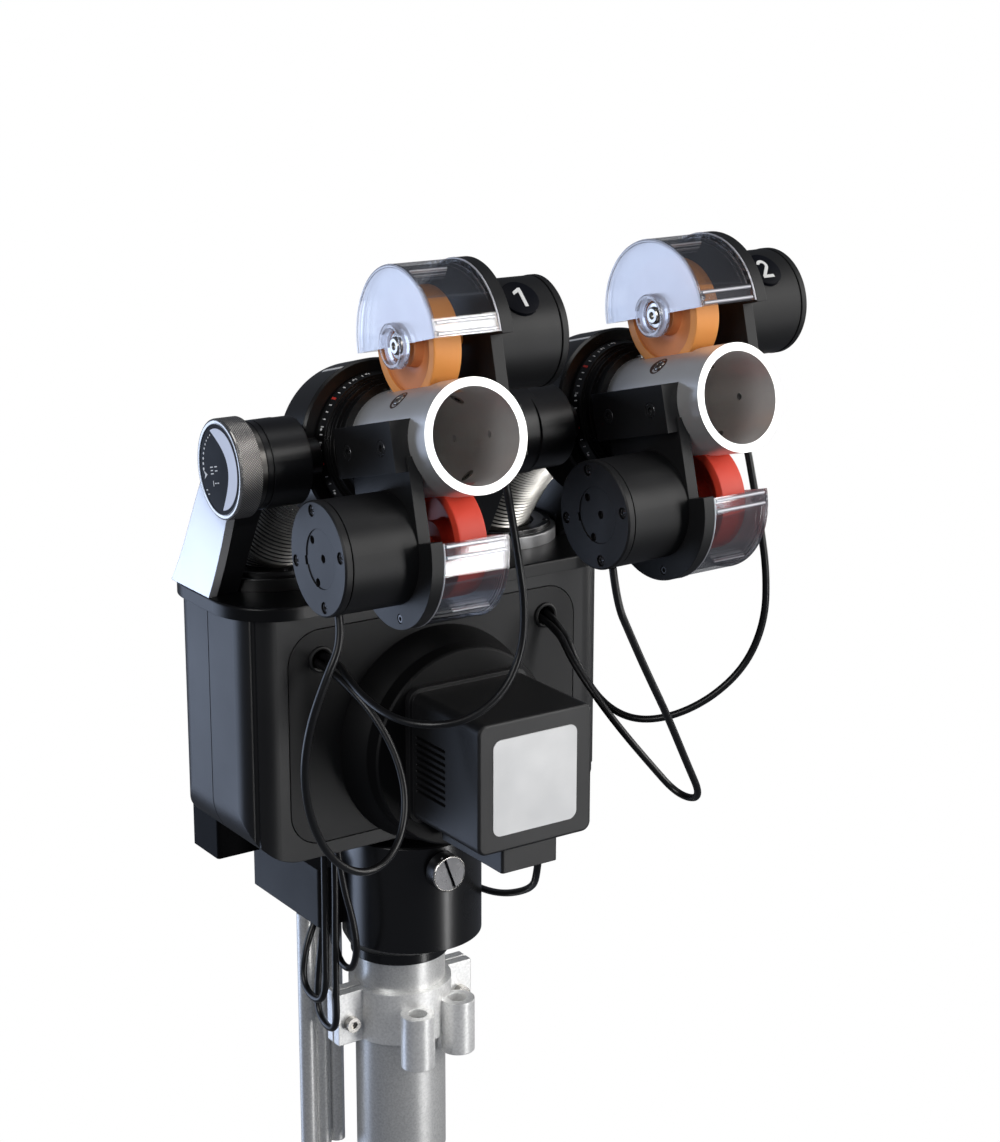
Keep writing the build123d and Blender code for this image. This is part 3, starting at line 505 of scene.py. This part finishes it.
# ---------------------------------------------------------------- cords
def spline_points(points_mm, steps=10):
    """Points along the NURBS spline that has the route as its control points."""
    cu = bpy.data.curves.new("route", "CURVE")
    cu.dimensions = "3D"
    sp = cu.splines.new("NURBS")
    sp.points.add(len(points_mm) - 1)
    for p, c in zip(sp.points, points_mm):
        p.co = (c[0] * MM, c[1] * MM, c[2] * MM, 1)
    sp.order_u = 3
    sp.use_endpoint_u = True
    sp.resolution_u = steps
    o = bpy.data.objects.new("route", cu)
    me = bpy.data.meshes.new_from_object(o)
    pts = [v.co.copy() for v in me.vertices]
    bpy.data.objects.remove(o)
    bpy.data.meshes.remove(me)
    bpy.data.curves.remove(cu)
    return pts


def tube(bm, pts, radii, seg=16, cap=True):
    """Tube along points in metres; radii in metres, one per point; frames carried along."""
    tang = []
    for k in range(len(pts)):
        a, b = pts[max(k - 1, 0)], pts[min(k + 1, len(pts) - 1)]
        tang.append((b - a).normalized())
    n = tang[0].orthogonal().normalized()
    rings = []
    for k, p in enumerate(pts):
        t = tang[k]
        n = (n - t * n.dot(t)).normalized()
        s = t.cross(n)
        rings.append([
            bm.verts.new(p + (n * math.cos(a) + s * math.sin(a)) * radii[k])
            for a in (2 * math.pi * j / seg for j in range(seg))
        ])
    skin(bm, rings, seg)
    if cap:
        bm.faces.new(rings[0])
        bm.faces.new(rings[-1])


def length_of(pts):
    return sum((b - a).length for a, b in zip(pts, pts[1:]))


CORD_R = 1.9 * MM
H1, H2 = HEAD[1], HEAD[2]


def mm(v):
    """A point in metres as a tuple in millimetres."""
    return tuple(c / MM for c in v)


ROUTES = {
    "motor_cord_1a": [
        mm(H1(-58, -70.5, 47.5)), mm(H1(-58, -82, 47.5)),
        (-139.5, -167.0, 346.0), (-144.4, -160.0, 322.4), (-142.4, -150.0, 296.6),
        (-133.1, -140.0, 267.1), (-115.5, -130.0, 240.2), (-91.7, -121.0, 225.3),
        (-69.8, -112.0, 229.5), (-58.8, -104.0, 248.5), (-58.3, -96.0, 270.0),
        (-63.9, -84.0, 289.8), (-69.7, -70.0, 301.6), (-71.2, -54.0, 306.2), (-71.2, -36.0, 307.2),
    ],
    "motor_cord_1b": [
        mm(H1(38, 19.0, 40)), mm(H1(38, 2, 41)), mm(H1(38, -22, 44)),
        (-27.5, -148.0, 400.8), (-22.9, -147.5, 377.9), (-18.6, -146.5, 355.0),
        (-19.6, -146.0, 332.8), (-29.3, -145.5, 313.5), (-46.2, -141.5, 301.6),
        (-62.3, -131.0, 298.4), (-72.0, -115.0, 299.0), (-75.5, -94.0, 303.4),
        (-73.0, -71.0, 308.9), (-67.0, -54.0, 310.0), (-66.9, -36.0, 309.6),
    ],
    "motor_cord_2a": [
        mm(H2(-58, -70.5, 47.5)), mm(H2(-57, -88, 45.5)),
        (26.8, -168.5, 339.6), (41.9, -162.5, 316.1), (61.6, -155.0, 287.1),
        (81.5, -146.0, 256.0), (97.4, -140.5, 230.0), (97.6, -120.0, 225.5),
        (85.0, -110.0, 244.0), (75.1, -99.5, 260.3), (68.1, -86.0, 276.5),
        (64.8, -69.0, 292.5), (66.6, -54.0, 305.0), (66.8, -36.0, 307.2),
    ],
    "motor_cord_2b": [
        mm(H2(38, 19.0, 40)), mm(H2(38, 2, 41)), mm(H2(38, -22, 44)),
        (119.0, -148.0, 394.6), (125.6, -146.5, 372.1), (132.5, -144.0, 347.0),
        (136.0, -140.0, 319.9), (130.8, -133.0, 295.2), (116.2, -124.0, 277.4),
        (98.1, -113.0, 266.7), (84.8, -98.0, 263.0), (76.9, -82.0, 268.6),
        (73.1, -66.0, 283.5), (71.7, -53.0, 303.0), (71.1, -36.0, 309.6),
    ],
    "feed_cord_1": [
        (-58.1, -20.0, 201.4), (-58.4, -20.6, 176.0), (-58.8, -20.7, 146.0), (-58.9, -20.5, 107.0),
        (-58.6, 6.0, 107.0), (-54.5, 8.5, 131.0), (-47.8, 10.5, 140.8),
    ],
    "feed_cord_2": [
        (-49.7, -16.0, 201.4), (-50.8, -18.6, 175.0), (-52.0, -19.6, 146.0), (-52.4, -19.8, 118.0),
        (-52.0, -19.8, 88.0), (-49.2, 6.6, 88.0), (-48.2, 6.6, 115.0), (-45.2, 5.0, 141.8),
    ],
    "feed_cord_3": [
        (-54.6, -27.5, 200.8), (-53.6, -31.0, 180.0), (-50.4, -36.0, 160.0), (-48.4, -36.5, 142.0),
        (-46.8, -27.0, 126.5), (-44.5, -8.0, 126.0), (-40.5, 5.0, 139.8),
    ],
    "switch_cord": [
        (14.0, -113.0, 209.8), (15.5, -109.0, 195.0), (26.0, -90.0, 180.5), (33.5, -68.0, 168.0),
        (39.0, -44.0, 157.0), (43.0, -20.0, 149.5), (43.5, 4.0, 147.5), (34.0, 25.0, 148.5),
        (14.5, 38.0, 152.5), (-9.4, 41.5, 157.0),
    ],
}


def cord_piece(name, pts, node):
    """Cord along pts, with no body, in place of the CAD node it hides."""
    bm = bmesh.new()
    tube(bm, pts, [CORD_R] * len(pts), 16)
    o = add(name, bm, "cord", None)
    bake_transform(o)
    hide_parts(node)


# The feed cords are short hanks, each made as one piece.
for node, route in ROUTES.items():
    pts = spline_points(route)
    if not node.startswith("motor"):
        cord_piece(f"{node}_flex", pts, node)
        continue
    i = node[-2]
    low = min(range(len(pts)), key=lambda k: pts[k].z)
    motor_side, case_side = pts[: low + 1], pts[low:][::-1]
    cord_piece(f"{node}_upper", motor_side[::-1], node)
    cord_piece(f"{node}_lower", case_side, node)


# ---------------------------------------------------------------- bellows
def filleted(points, radii):
    """Dense polyline through points with its inner corners rounded."""
    out = [points[0]]
    for p, c, q, r in zip(points, points[1:], points[2:], radii):
        a, b = (p - c).normalized(), (q - c).normalized()
        turn = math.pi - a.angle(b)
        p0 = c + a * (r * math.tan(turn / 2))
        centre = c + (a + b).normalized() * (r / math.cos(turn / 2))
        u = (p0 - centre).normalized()
        w = (b - u * b.dot(u)).normalized()
        for k in range(61):
            x, y = polar(1, turn * k / 60)
            out.append(centre + (u * x + w * y) * r)
    return out + [points[-1]]


def evenly(line, steps):
    """steps + 1 points at equal distances along a polyline."""
    total = length_of(line)
    pts, k, gone = [], 0, 0.0
    for s in range(steps + 1):
        want = total * s / steps
        while k < len(line) - 2 and gone + (line[k + 1] - line[k]).length < want:
            gone += (line[k + 1] - line[k]).length
            k += 1
        part = (want - gone) / (line[k + 1] - line[k]).length
        pts.append(line[k].lerp(line[k + 1], min(1.0, part)))
    return pts


BELLOWS_R, RIB_HEIGHT, RIB_PITCH, RIB_STEPS = 21.4, 1.05, 2.8, 6
# The dark core is painted shade: it hides the ribs' troughs so the grooves read dark.
GROOVE_SHADE_R = 21.5  # dark tube between the ribs' crests and troughs, so the grooves read dark
BELLOWS_FOOT_X = 67.0


def bellows_piece(i):
    """Corrugated tube from the exit ring up into the back of the tilting ring."""
    f = HEAD[i]
    foot = Vector((SIDE[i] * BELLOWS_FOOT_X, OUTLET_Y, 0))
    line = filleted(
        [(foot + Vector((0, 0, 343))) * MM, (foot + Vector((0, 0, 358))) * MM,
         f(0, 0, -79), f(0, 0, -24.2)],
        [0.024, 0.110],
    )
    steps = round(length_of(line) / (RIB_PITCH * MM)) * RIB_STEPS
    pts = evenly(line, steps)
    waves = [
        (BELLOWS_R + RIB_HEIGHT * math.cos(2 * math.pi * s / RIB_STEPS)) * MM
        for s in range(steps + 1)
    ]
    # The black tube under the silver ribs is painted shade in the grooves.
    for part, mat, radii, slot in (
        ("groove_shade", "rubber", [GROOVE_SHADE_R * MM] * len(pts), "cord_black"),
        ("hose", "bellows", waves, "bellows_silver"),
    ):
        bm = bmesh.new()
        tube(bm, pts, radii, 56, cap=False)
        o = add(f"bellows_{i}_{part}", bm, mat, None, angle=70)
        tuple(f(0, 0, -30))
        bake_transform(o)
    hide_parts(f"bellows_{i}")


# ---------------------------------------------------------------- knobs
KNOB_X = 73.0
KNURLS, KNURL_PITCH = 120, 1.2
ON_DIAL = (10.75, 10.95)  # heights between which the marks on the dial lie


def knob_knurl(i, f, body):
    """Knurled band. Its UVs count the grooves, round the band and along it."""
    bm = bmesh.new()
    uv = bm.loops.layers.uv.new("knurl")
    rows = [(0.2, 22.7), (0.5, 23.15), (9.9, 23.15), (10.2, 22.7)]
    rings = [
        [bm.verts.new(f(*polar(r, 2 * math.pi * k / KNURLS), z)) for k in range(KNURLS)]
        for z, r in rows
    ]
    for (za, _), (zb, _), a, b in zip(rows, rows[1:], rings, rings[1:]):
        va, vb = za / KNURL_PITCH, zb / KNURL_PITCH
        for k in range(KNURLS):
            n = (k + 1) % KNURLS
            face = bm.faces.new([a[k], a[n], b[n], b[k]])
            for loop, at in zip(face.loops, ((k, va), (k + 1, va), (k + 1, vb), (k, vb))):
                loop[uv].uv = at
    add(f"knob_{i}_knurl", bm, "knurl", body, angle=30)


def knob_crescent(i, f, body):
    bm = bmesh.new()
    outer = circle(18.6, 60, 0, 0, -95, 104, False)
    p, q = Vector(outer[-1]), Vector(outer[0])
    n = Vector(((p - q).y, -(p - q).x)).normalized()
    bulge = 12.6
    inner = [tuple(p.lerp(q, k / 30) + n * bulge * math.sin(math.pi * k / 30)) for k in range(1, 30)]
    prism(bm, f, outer + inner, *ON_DIAL)
    add(f"knob_{i}_crescent", bm, "pale", body, smooth=False)


def knob_marks(i, f, body):
    """Growing dots, a pointer and plain strokes on the dial."""
    bm = bmesh.new()
    for k in range(9):
        x, y = polar(16.8, math.radians(108 + 8.5 * k))
        prism(bm, f, circle(0.35 + 0.05 * k, 12, x, y), *ON_DIAL)
    prism(bm, f, [(-17.0, 0.5), (-13.4, -1.6), (-17.0, -3.4), (-15.8, -1.5)], *ON_DIAL)
    for x, y, w, h in (
        (-8, 1.5, 3, 0.5), (-8, 0, 2.2, 0.5), (-8, -1.5, 3, 0.5),
        (-3.4, 1.5, 2.6, 0.5), (-3.4, -0.4, 2.6, 0.5),
        (-8, -6, 0.5, 2.6), (-5.6, -6, 1.6, 0.5), (-3, -6, 1.6, 0.5),
        (-16, -8.5, 1.6, 0.5), (-14.6, -10.5, 1.6, 0.5),
    ):
        prism(bm, f, rect(x - w / 2, y - h / 2, x + w / 2, y + h / 2), *ON_DIAL)
    add(f"knob_{i}_marks", bm, "white", body, smooth=False)


def knob_piece(i):
    """Everything visible on one tilt knob, outwards from the ring's pin."""
    side = SIDE[i]
    f = HEAD[i].sub(side * KNOB_X, 0, 0, (side, 0, 0), (0, 0, 1))
    body = f"tilt_knob_{i}"
    knob_knurl(i, f, body)
    sleeve = [(-6.7, 20.05), (-6.7, 20.3), (-3.9, 20.3), (-3.7, 20.05)]
    turned(f"knob_{i}_sleeve", f, sleeve, 96, "arm", body)
    rim = [(9.9, 22.6), (9.9, 23.1), (10.6, 23.0), (11.2, 22.3), (11.3, 21.6), (10.9, 20.7),
           (10.2, 20.6)]
    turned(f"knob_{i}_rim", f, rim, 128, "steel", body)
    dial = [(10.3, 0), (10.3, 20.5), (10.7, 20.5), (10.8, 20.0), (10.8, 0)]
    turned(f"knob_{i}_dial", f, dial, 96, "dial", body)
    knob_crescent(i, f, body)
    knob_marks(i, f, body)


# ---------------------------------------------------------------- tilting rings and their scales
def ring_marks(i):
    """Index mark on the ring, and the scale's strokes and dots on the turning cone."""
    f = HEAD[i]
    cone = 0.4  # how far the scale's cone leans towards the muzzle

    def facing_out(r, a, z, lean, ahead=0.0):
        """Frame at radius r, facing out at angle a; ahead shifts its place round the axis."""
        return f.sub(*polar(r, a + ahead), z, (math.cos(a), math.sin(a), lean), (0, 0, 1))

    bm = bmesh.new()
    prism(bm, facing_out(42.45, math.radians(112), -9, 0), rect(-9, -1.0, 10, 1.0), -0.1, 0.15)
    add(f"ring_{i}_index", bm, "white", f"ring_{i}", smooth=False)
    strokes, dots = bmesh.new(), bmesh.new()
    for deg in (*range(98, 178, 6), 196, 202, 208):
        a = math.radians(deg)
        half = 0.75 if deg % 12 else 1.2
        g = facing_out(35.15, a, 6.1, cone)
        prism(strokes, g, rect(-half, -0.25, half, 0.25), -0.1, 0.12)
        if deg in (98, 110, 158, 170, 208):
            g = facing_out(35.3, a, 5.7, cone, ahead=0.035)
            prism(strokes, g, circle(0.62, 10), -0.1, 0.12)
    for deg in (134, 186):
        g = facing_out(35.3, math.radians(deg), 5.7, cone)
        prism(dots, g, rect(-1.3, -0.6, 1.3, 0.6), -0.1, 0.16)
    add(f"scale_{i}_strokes", strokes, "white", f"head_{i}", smooth=False)
    add(f"scale_{i}_dots", dots, "reddot", f"head_{i}", smooth=False)


# ---------------------------------------------------------------- heads
def on_axle(i, s, x, facing):
    """Frame on the axle of the upper (s = 1) or lower (s = -1) wheel, facing along x."""
    return HEAD[i].sub(x, s * AXLE_UP, AXLE_AHEAD, (facing, 0, 0))


def head_screws(i):
    """Screws of the brackets and the motor caps, and a lip round the end of each motor."""
    f, body = HEAD[i], f"head_{i}"
    sockets, crosses, lips = bmesh.new(), bmesh.new(), bmesh.new()
    lip = [(0.75, 25.85), (0.75, 26.05), (3.6, 26.05), (4.0, 25.6), (4.0, 25.0)]
    for s in (1, -1):
        for z in (30, 62):
            socket_screw(sockets, f.sub(s * 32.2, 0, z, (s, 0, 0)), 3.5, 1.9)
        g = f.sub(s * 26.2, s * (AXLE_UP + 32), AXLE_AHEAD, (s, 0, 0))
        socket_screw(sockets, g, 2.1, 1.6)
        for k in range(4):
            ahead, up = polar(21.6, math.radians(90 * k))
            g = f.sub(s * 62.95, s * AXLE_UP + up, AXLE_AHEAD + ahead, (s, 0, 0))
            cross_screw(crosses, g, 2.6)
        lathe(lips, on_axle(i, s, s * 60.2, s), lip, 96)
    add(f"head_{i}_socket_screws", sockets, "dark_steel", body)
    add(f"head_{i}_cap_screws", crosses, "dark_steel", body, angle=50)
    add(f"head_{i}_motor_lips", lips, "motor", body)


def number_piece(i):
    """Round plate with the motor's number, facing up and ahead on the upper motor."""
    body = f"head_{i}"
    facing = (0, 0.559, 0.829)
    at = Vector((43, AXLE_UP, AXLE_AHEAD)) + Vector(facing) * 25.75
    g = HEAD[i].sub(*at, facing, (1, 0, 0))
    plate = [(-2.2, 9.3), (0.35, 9.3), (0.5, 9.05), (0.5, 0)]
    turned(f"number_{i}_plate", g, plate, 48, "dial", body)

    def bow(r, degrees):
        """Points on the round part of the 2."""
        return [(x, 2.2 + y) for x, y in (polar(r, math.radians(d)) for d in degrees)]

    if i == 1:
        glyph = [(0.3, -5.4), (2.1, -5.4), (2.1, 5.4), (0.7, 5.4), (-2.7, 3.3), (-2.7, 1.6),
                 (0.3, 3.2)]
    else:
        foot = [(-0.9, -3.7), (3.3, -3.7), (3.3, -5.4), (-3.5, -5.4), (-3.5, -4.1)]
        glyph = bow(3.2, range(165, -41, -12)) + foot + bow(1.5, range(-40, 166, 14))
    bm = bmesh.new()
    prism(bm, g, glyph, 0.45, 0.68)
    add(f"number_{i}", bm, "white", body, smooth=False)


def wheel_pieces(i, w, s):
    """Axle nut, ribbed tread and raised faces of one wheel."""
    body = f"wheel_{i}_{w}"
    mat, face_mat = ("orange", "tan") if s > 0 else ("red", "red")
    nut = [(-0.4, 6.4), (0.5, 6.4), (0.9, 5.9), (0.9, 4.2), (2.2, 4.0), (2.7, 3.4), (2.7, 1.8),
           (1.4, 1.6), (1.4, 0)]
    turned(f"{body}_nut", on_axle(i, s, -s * 10.2, -s), nut, 48, "steel", body, 30)
    ribs = [(k - 7.0, 26.02 + (0.28 if k % 2 else 0.02)) for k in range(15)]
    tread = [(-6.9, 25.5)] + ribs + [(6.9, 25.5)]
    turned(f"{body}_tread", on_axle(i, s, 0, 1), tread, 120, mat, body, 60)
    outer = [(4.0, 21.6), (2.6, 21.3), (1.9, 20.0), (1.5, 15.6), (0.2, 13.6), (0.1, 10.6),
             (4.4, 9.6), (4.6, 9.0), (4.5, 6.6)]
    inner = [(7.2, 21.6), (0.6, 21.0), (0.1, 20.4), (0.1, 10.4), (0.8, 9.6), (7.4, 9.6)]
    faces = bmesh.new()
    lathe(faces, on_axle(i, s, -s * 2.8, -s), outer, 96)
    lathe(faces, on_axle(i, s, -s * 0.5, s), inner, 96)
    add(f"{body}_face", faces, face_mat, body, angle=40)


def cover_pieces(i, w, s):
    """Thick edges, corner ledges, milky tubes as painted highlights, and bosses of one clear cover."""
    f, body = HEAD[i], f"head_{i}"

    def around(x, r, a):
        """Local point x outboard, at radius r from the axle and angle a up from straight ahead."""
        return s * x, s * (AXLE_UP + r * math.sin(a)), AXLE_AHEAD + r * math.cos(a)

    # Milky tubes laid along the cover as painted highlights.
    def painted_glint(line, r, seg):
        tube(painted_glints, [f(*p) for p in line], [r * MM] * len(line), seg)

    rim, edges, tips, painted_glints = bmesh.new(), bmesh.new(), bmesh.new(), bmesh.new()
    hub = [(0.0, 10.5), (2.6, 10.4), (2.9, 10.0), (2.9, 8.4), (2.6, 8.0), (0.0, 7.9)]
    lathe(edges, on_axle(i, s, -s * 12.0, -s), hub, 64)
    arch = [f(*around(-11.3, 35.6, math.radians(180 * k / 48))) for k in range(49)]
    tube(rim, arch, [1.05 * MM] * len(arch), 10)
    across = f.sub(s * 5.0, s * AXLE_UP, AXLE_AHEAD, (s, 0, 0), (0, 0, 1))
    for e in (1, -1):
        ledge = [(e * 33.4, -0.1), (e * 35.9, -0.1), (e * 35.5, -4.0), (e * 34.6, -8.2),
                 (e * 33.6, -8.2)]
        prism(edges, across, ledge, -16.4, 16.6)
        for up in (1.6, 6.6):
            ahead = AXLE_AHEAD + e * (36.1 - 0.014 * up * up)
            painted_glint([(s * x, s * (AXLE_UP + up), ahead) for x in (-10, -3, 4, 11, 20)], 0.85, 10)
    painted_glint([around(x, 35.4, math.radians(62)) for x in (-9, -4, 1, 6, 10)], 0.5, 8)
    painted_glint([around(21.4, 36.7, math.radians(7.5 * k)) for k in range(25)], 0.45, 8)
    for deg in (8, 90, 172):
        g = f.sub(*around(-10.3, 32.4, math.radians(deg)), (s, 0, 0))
        lathe(rim, g, [(-0.4, 1.9), (3.2, 1.9), (3.6, 1.5), (3.6, 0)], 24)
        lathe(tips, g, [(3.7, 1.1), (4.3, 1.0), (4.3, 0)], 20)
    add(f"cover_{i}_{w}_rim", rim, "clear", body, angle=50)
    add(f"cover_{i}_{w}_edges", edges, "ledge", body, angle=50)
    add(f"cover_{i}_{w}_streaks", painted_glints, "painted_glint", body, angle=50)
    add(f"cover_{i}_{w}_tips", tips, "dark_steel", body)


def barrel_pieces(i):
    """Screws through the barrel's wall, dark discs round them as painted shade of their wells, and the
    bolt on top.
    """
    f, body = HEAD[i], f"head_{i}"
    skin_r, well_r, sides = BARREL_R + 0.06, 5.2, 40
    plugs, well_shades, bolt = bmesh.new(), bmesh.new(), bmesh.new()
    for deg in (52, -52, 128, -128):
        a = math.radians(deg)
        c, d = polar(1, a)
        socket_screw(plugs, f.sub(*polar(25.2, a), 52, (c, d, 0)), 3.1, 1.4, 1.6)
        socket_screw(plugs, f.sub(*polar(23.2, a), 52, (-c, -d, 0)), 3.5, 1.3, 1.6)
        # A flat dark disc on the barrel's skin, painted shade of the well round the screw.
        disc = [
            well_shades.verts.new(f(*polar(skin_r, a + v / BARREL_R), 51 + u))
            for u, v in circle(well_r, sides)
        ]
        hub = well_shades.verts.new(f(*polar(skin_r, a), 51))
        for k in range(sides):
            well_shades.faces.new([hub, disc[k], disc[(k + 1) % sides]])
    add(f"barrel_{i}_plugs", plugs, "steel", body)
    add(f"barrel_{i}_wells", well_shades, "well_shade", body)
    socket_screw(bolt, f.sub(0, 25.6, 20.5, (0, 1, 0)), 3.2, 1.4)
    add(f"barrel_{i}_bolt", bolt, "steel", body)


for i in (1, 2):
    bellows_piece(i)
    knob_piece(i)
    ring_marks(i)
    head_screws(i)
    number_piece(i)
    for w, s in (("top", 1), ("bottom", -1)):
        wheel_pieces(i, w, s)
        cover_pieces(i, w, s)
    barrel_pieces(i)


# ---------------------------------------------------------------- casing trim
def casing_trim():
    """Cord grommets, exit ring screws and seals, the motor behind the vents, small screws."""
    grommets, screws, seals, screw = bmesh.new(), bmesh.new(), bmesh.new(), bmesh.new()
    grommet = [(-2.2, 4.9), (-2.2, 5.1), (0.3, 5.1), (0.3, 6.9), (1.3, 6.7), (1.7, 6.0),
               (1.3, 5.2), (-2.2, 4.9)]
    for side in (-1, 1):
        lathe(grommets, facing_front(side * 69.0, -38.9, 308.4), grommet, 40)
    add("casing_grommets", grommets, "rubber", "casing")
    for k in range(6):
        for side in (-1, 1):
            x, y = polar(28.4, math.radians(60 * k + 20))
            g = facing_up(side * OUTLET_X, OUTLET_Y, 350.3)
            socket_screw(screws, g.sub(x, y, 0, (0, 0, 1)), 1.6, 0.9)
    add("exit_ring_screws", screws, "dark_steel", "casing")
    seal = [(0.0, 31.05), (2.2, 31.05), (2.6, 30.7), (2.6, 27.7), (2.35, 27.6)]
    for side in (-1, 1):
        lathe(seals, facing_up(side * OUTLET_X, OUTLET_Y, 348.1), seal, 96)
    add("exit_ring_seals", seals, "ring", "casing")
    socket_screw(screw, Frame((0, -118, 210.6), (1, 0, 0), (0, 0, -1)), 2.4, 1.0)
    add("switch_box_screw", screw, "dark_steel", "casing")
    can = [(0, 0), (0, 23), (1, 24), (36, 24), (37, 27), (40, 27), (40, 0)]
    turned("drive_motor_can", facing_front(0.0, -84.0, 258.0), can, 48, "boss", "casing")
    rim = [(6.6, 10.05), (7.0, 10.0), (7.6, 9.5), (7.65, 9.15), (7.3, 9.0)]
    turned("lock_screw_rim", facing_front(-5.0, -51.6, 184.0), rim, 64, "steel", "lock_screw")


casing_trim()


# ---------------------------------------------------------------- light
def area(name, at, aim, w, h, power, color=(1, 1, 1)):
    """Rectangular lamp at a place in metres, turned towards aim."""
    d = bpy.data.lights.new(name, "AREA")
    d.shape, d.size, d.size_y, d.energy, d.color = "RECTANGLE", w, h, power, color
    o = bpy.data.objects.new(name, d)
    bpy.context.scene.collection.objects.link(o)
    o.location = at
    o.rotation_mode = "QUATERNION"
    o.rotation_quaternion = (Vector(aim) - Vector(at)).to_track_quat("-Z", "Y")


AIM = (0, -0.05, 0.35)
area("key_left", (-1.7, -0.9, 1.25), AIM, 0.7, 1.2, 17)
area("front_right", (1.25, -1.9, 1.30), AIM, 0.7, 1.4, 28, (1.0, 0.99, 0.97))
area("top", (0.1, -0.3, 1.9), AIM, 0.9, 0.7, 4)
area("right_strip", (1.7, -0.5, 0.6), AIM, 0.3, 1.6, 12, (1.0, 0.985, 0.96))
area("front_low", (0.95, -1.85, -0.15), (0, 0, 0.12), 0.3, 1.3, 13)
area("left_cool", (-1.25, 1.5, -0.05), AIM, 1.3, 1.6, 18, (0.63, 0.75, 1.0))

# The background is plain white to the camera and a dim cool fill to everything else.
world = bpy.data.worlds.new("world")
bpy.context.scene.world = world
world.use_nodes = True
tree = world.node_tree
tree.nodes.clear()
output = tree.nodes.new("ShaderNodeOutputWorld")
seen, lit = tree.nodes.new("ShaderNodeBackground"), tree.nodes.new("ShaderNodeBackground")
seen.inputs["Color"].default_value = (1, 1, 1, 1)
seen.inputs["Strength"].default_value = 1.0
lit.inputs["Color"].default_value = (0.80, 0.86, 1.0, 1)
lit.inputs["Strength"].default_value = 0.12
path, either = tree.nodes.new("ShaderNodeLightPath"), tree.nodes.new("ShaderNodeMixShader")
tree.links.new(path.outputs["Is Camera Ray"], either.inputs["Fac"])
tree.links.new(lit.outputs["Background"], either.inputs[1])
tree.links.new(seen.outputs["Background"], either.inputs[2])
tree.links.new(either.outputs["Shader"], output.inputs["Surface"])

bpy.context.scene.view_settings.view_transform = "Standard"
bpy.context.scene.view_settings.look = "None"
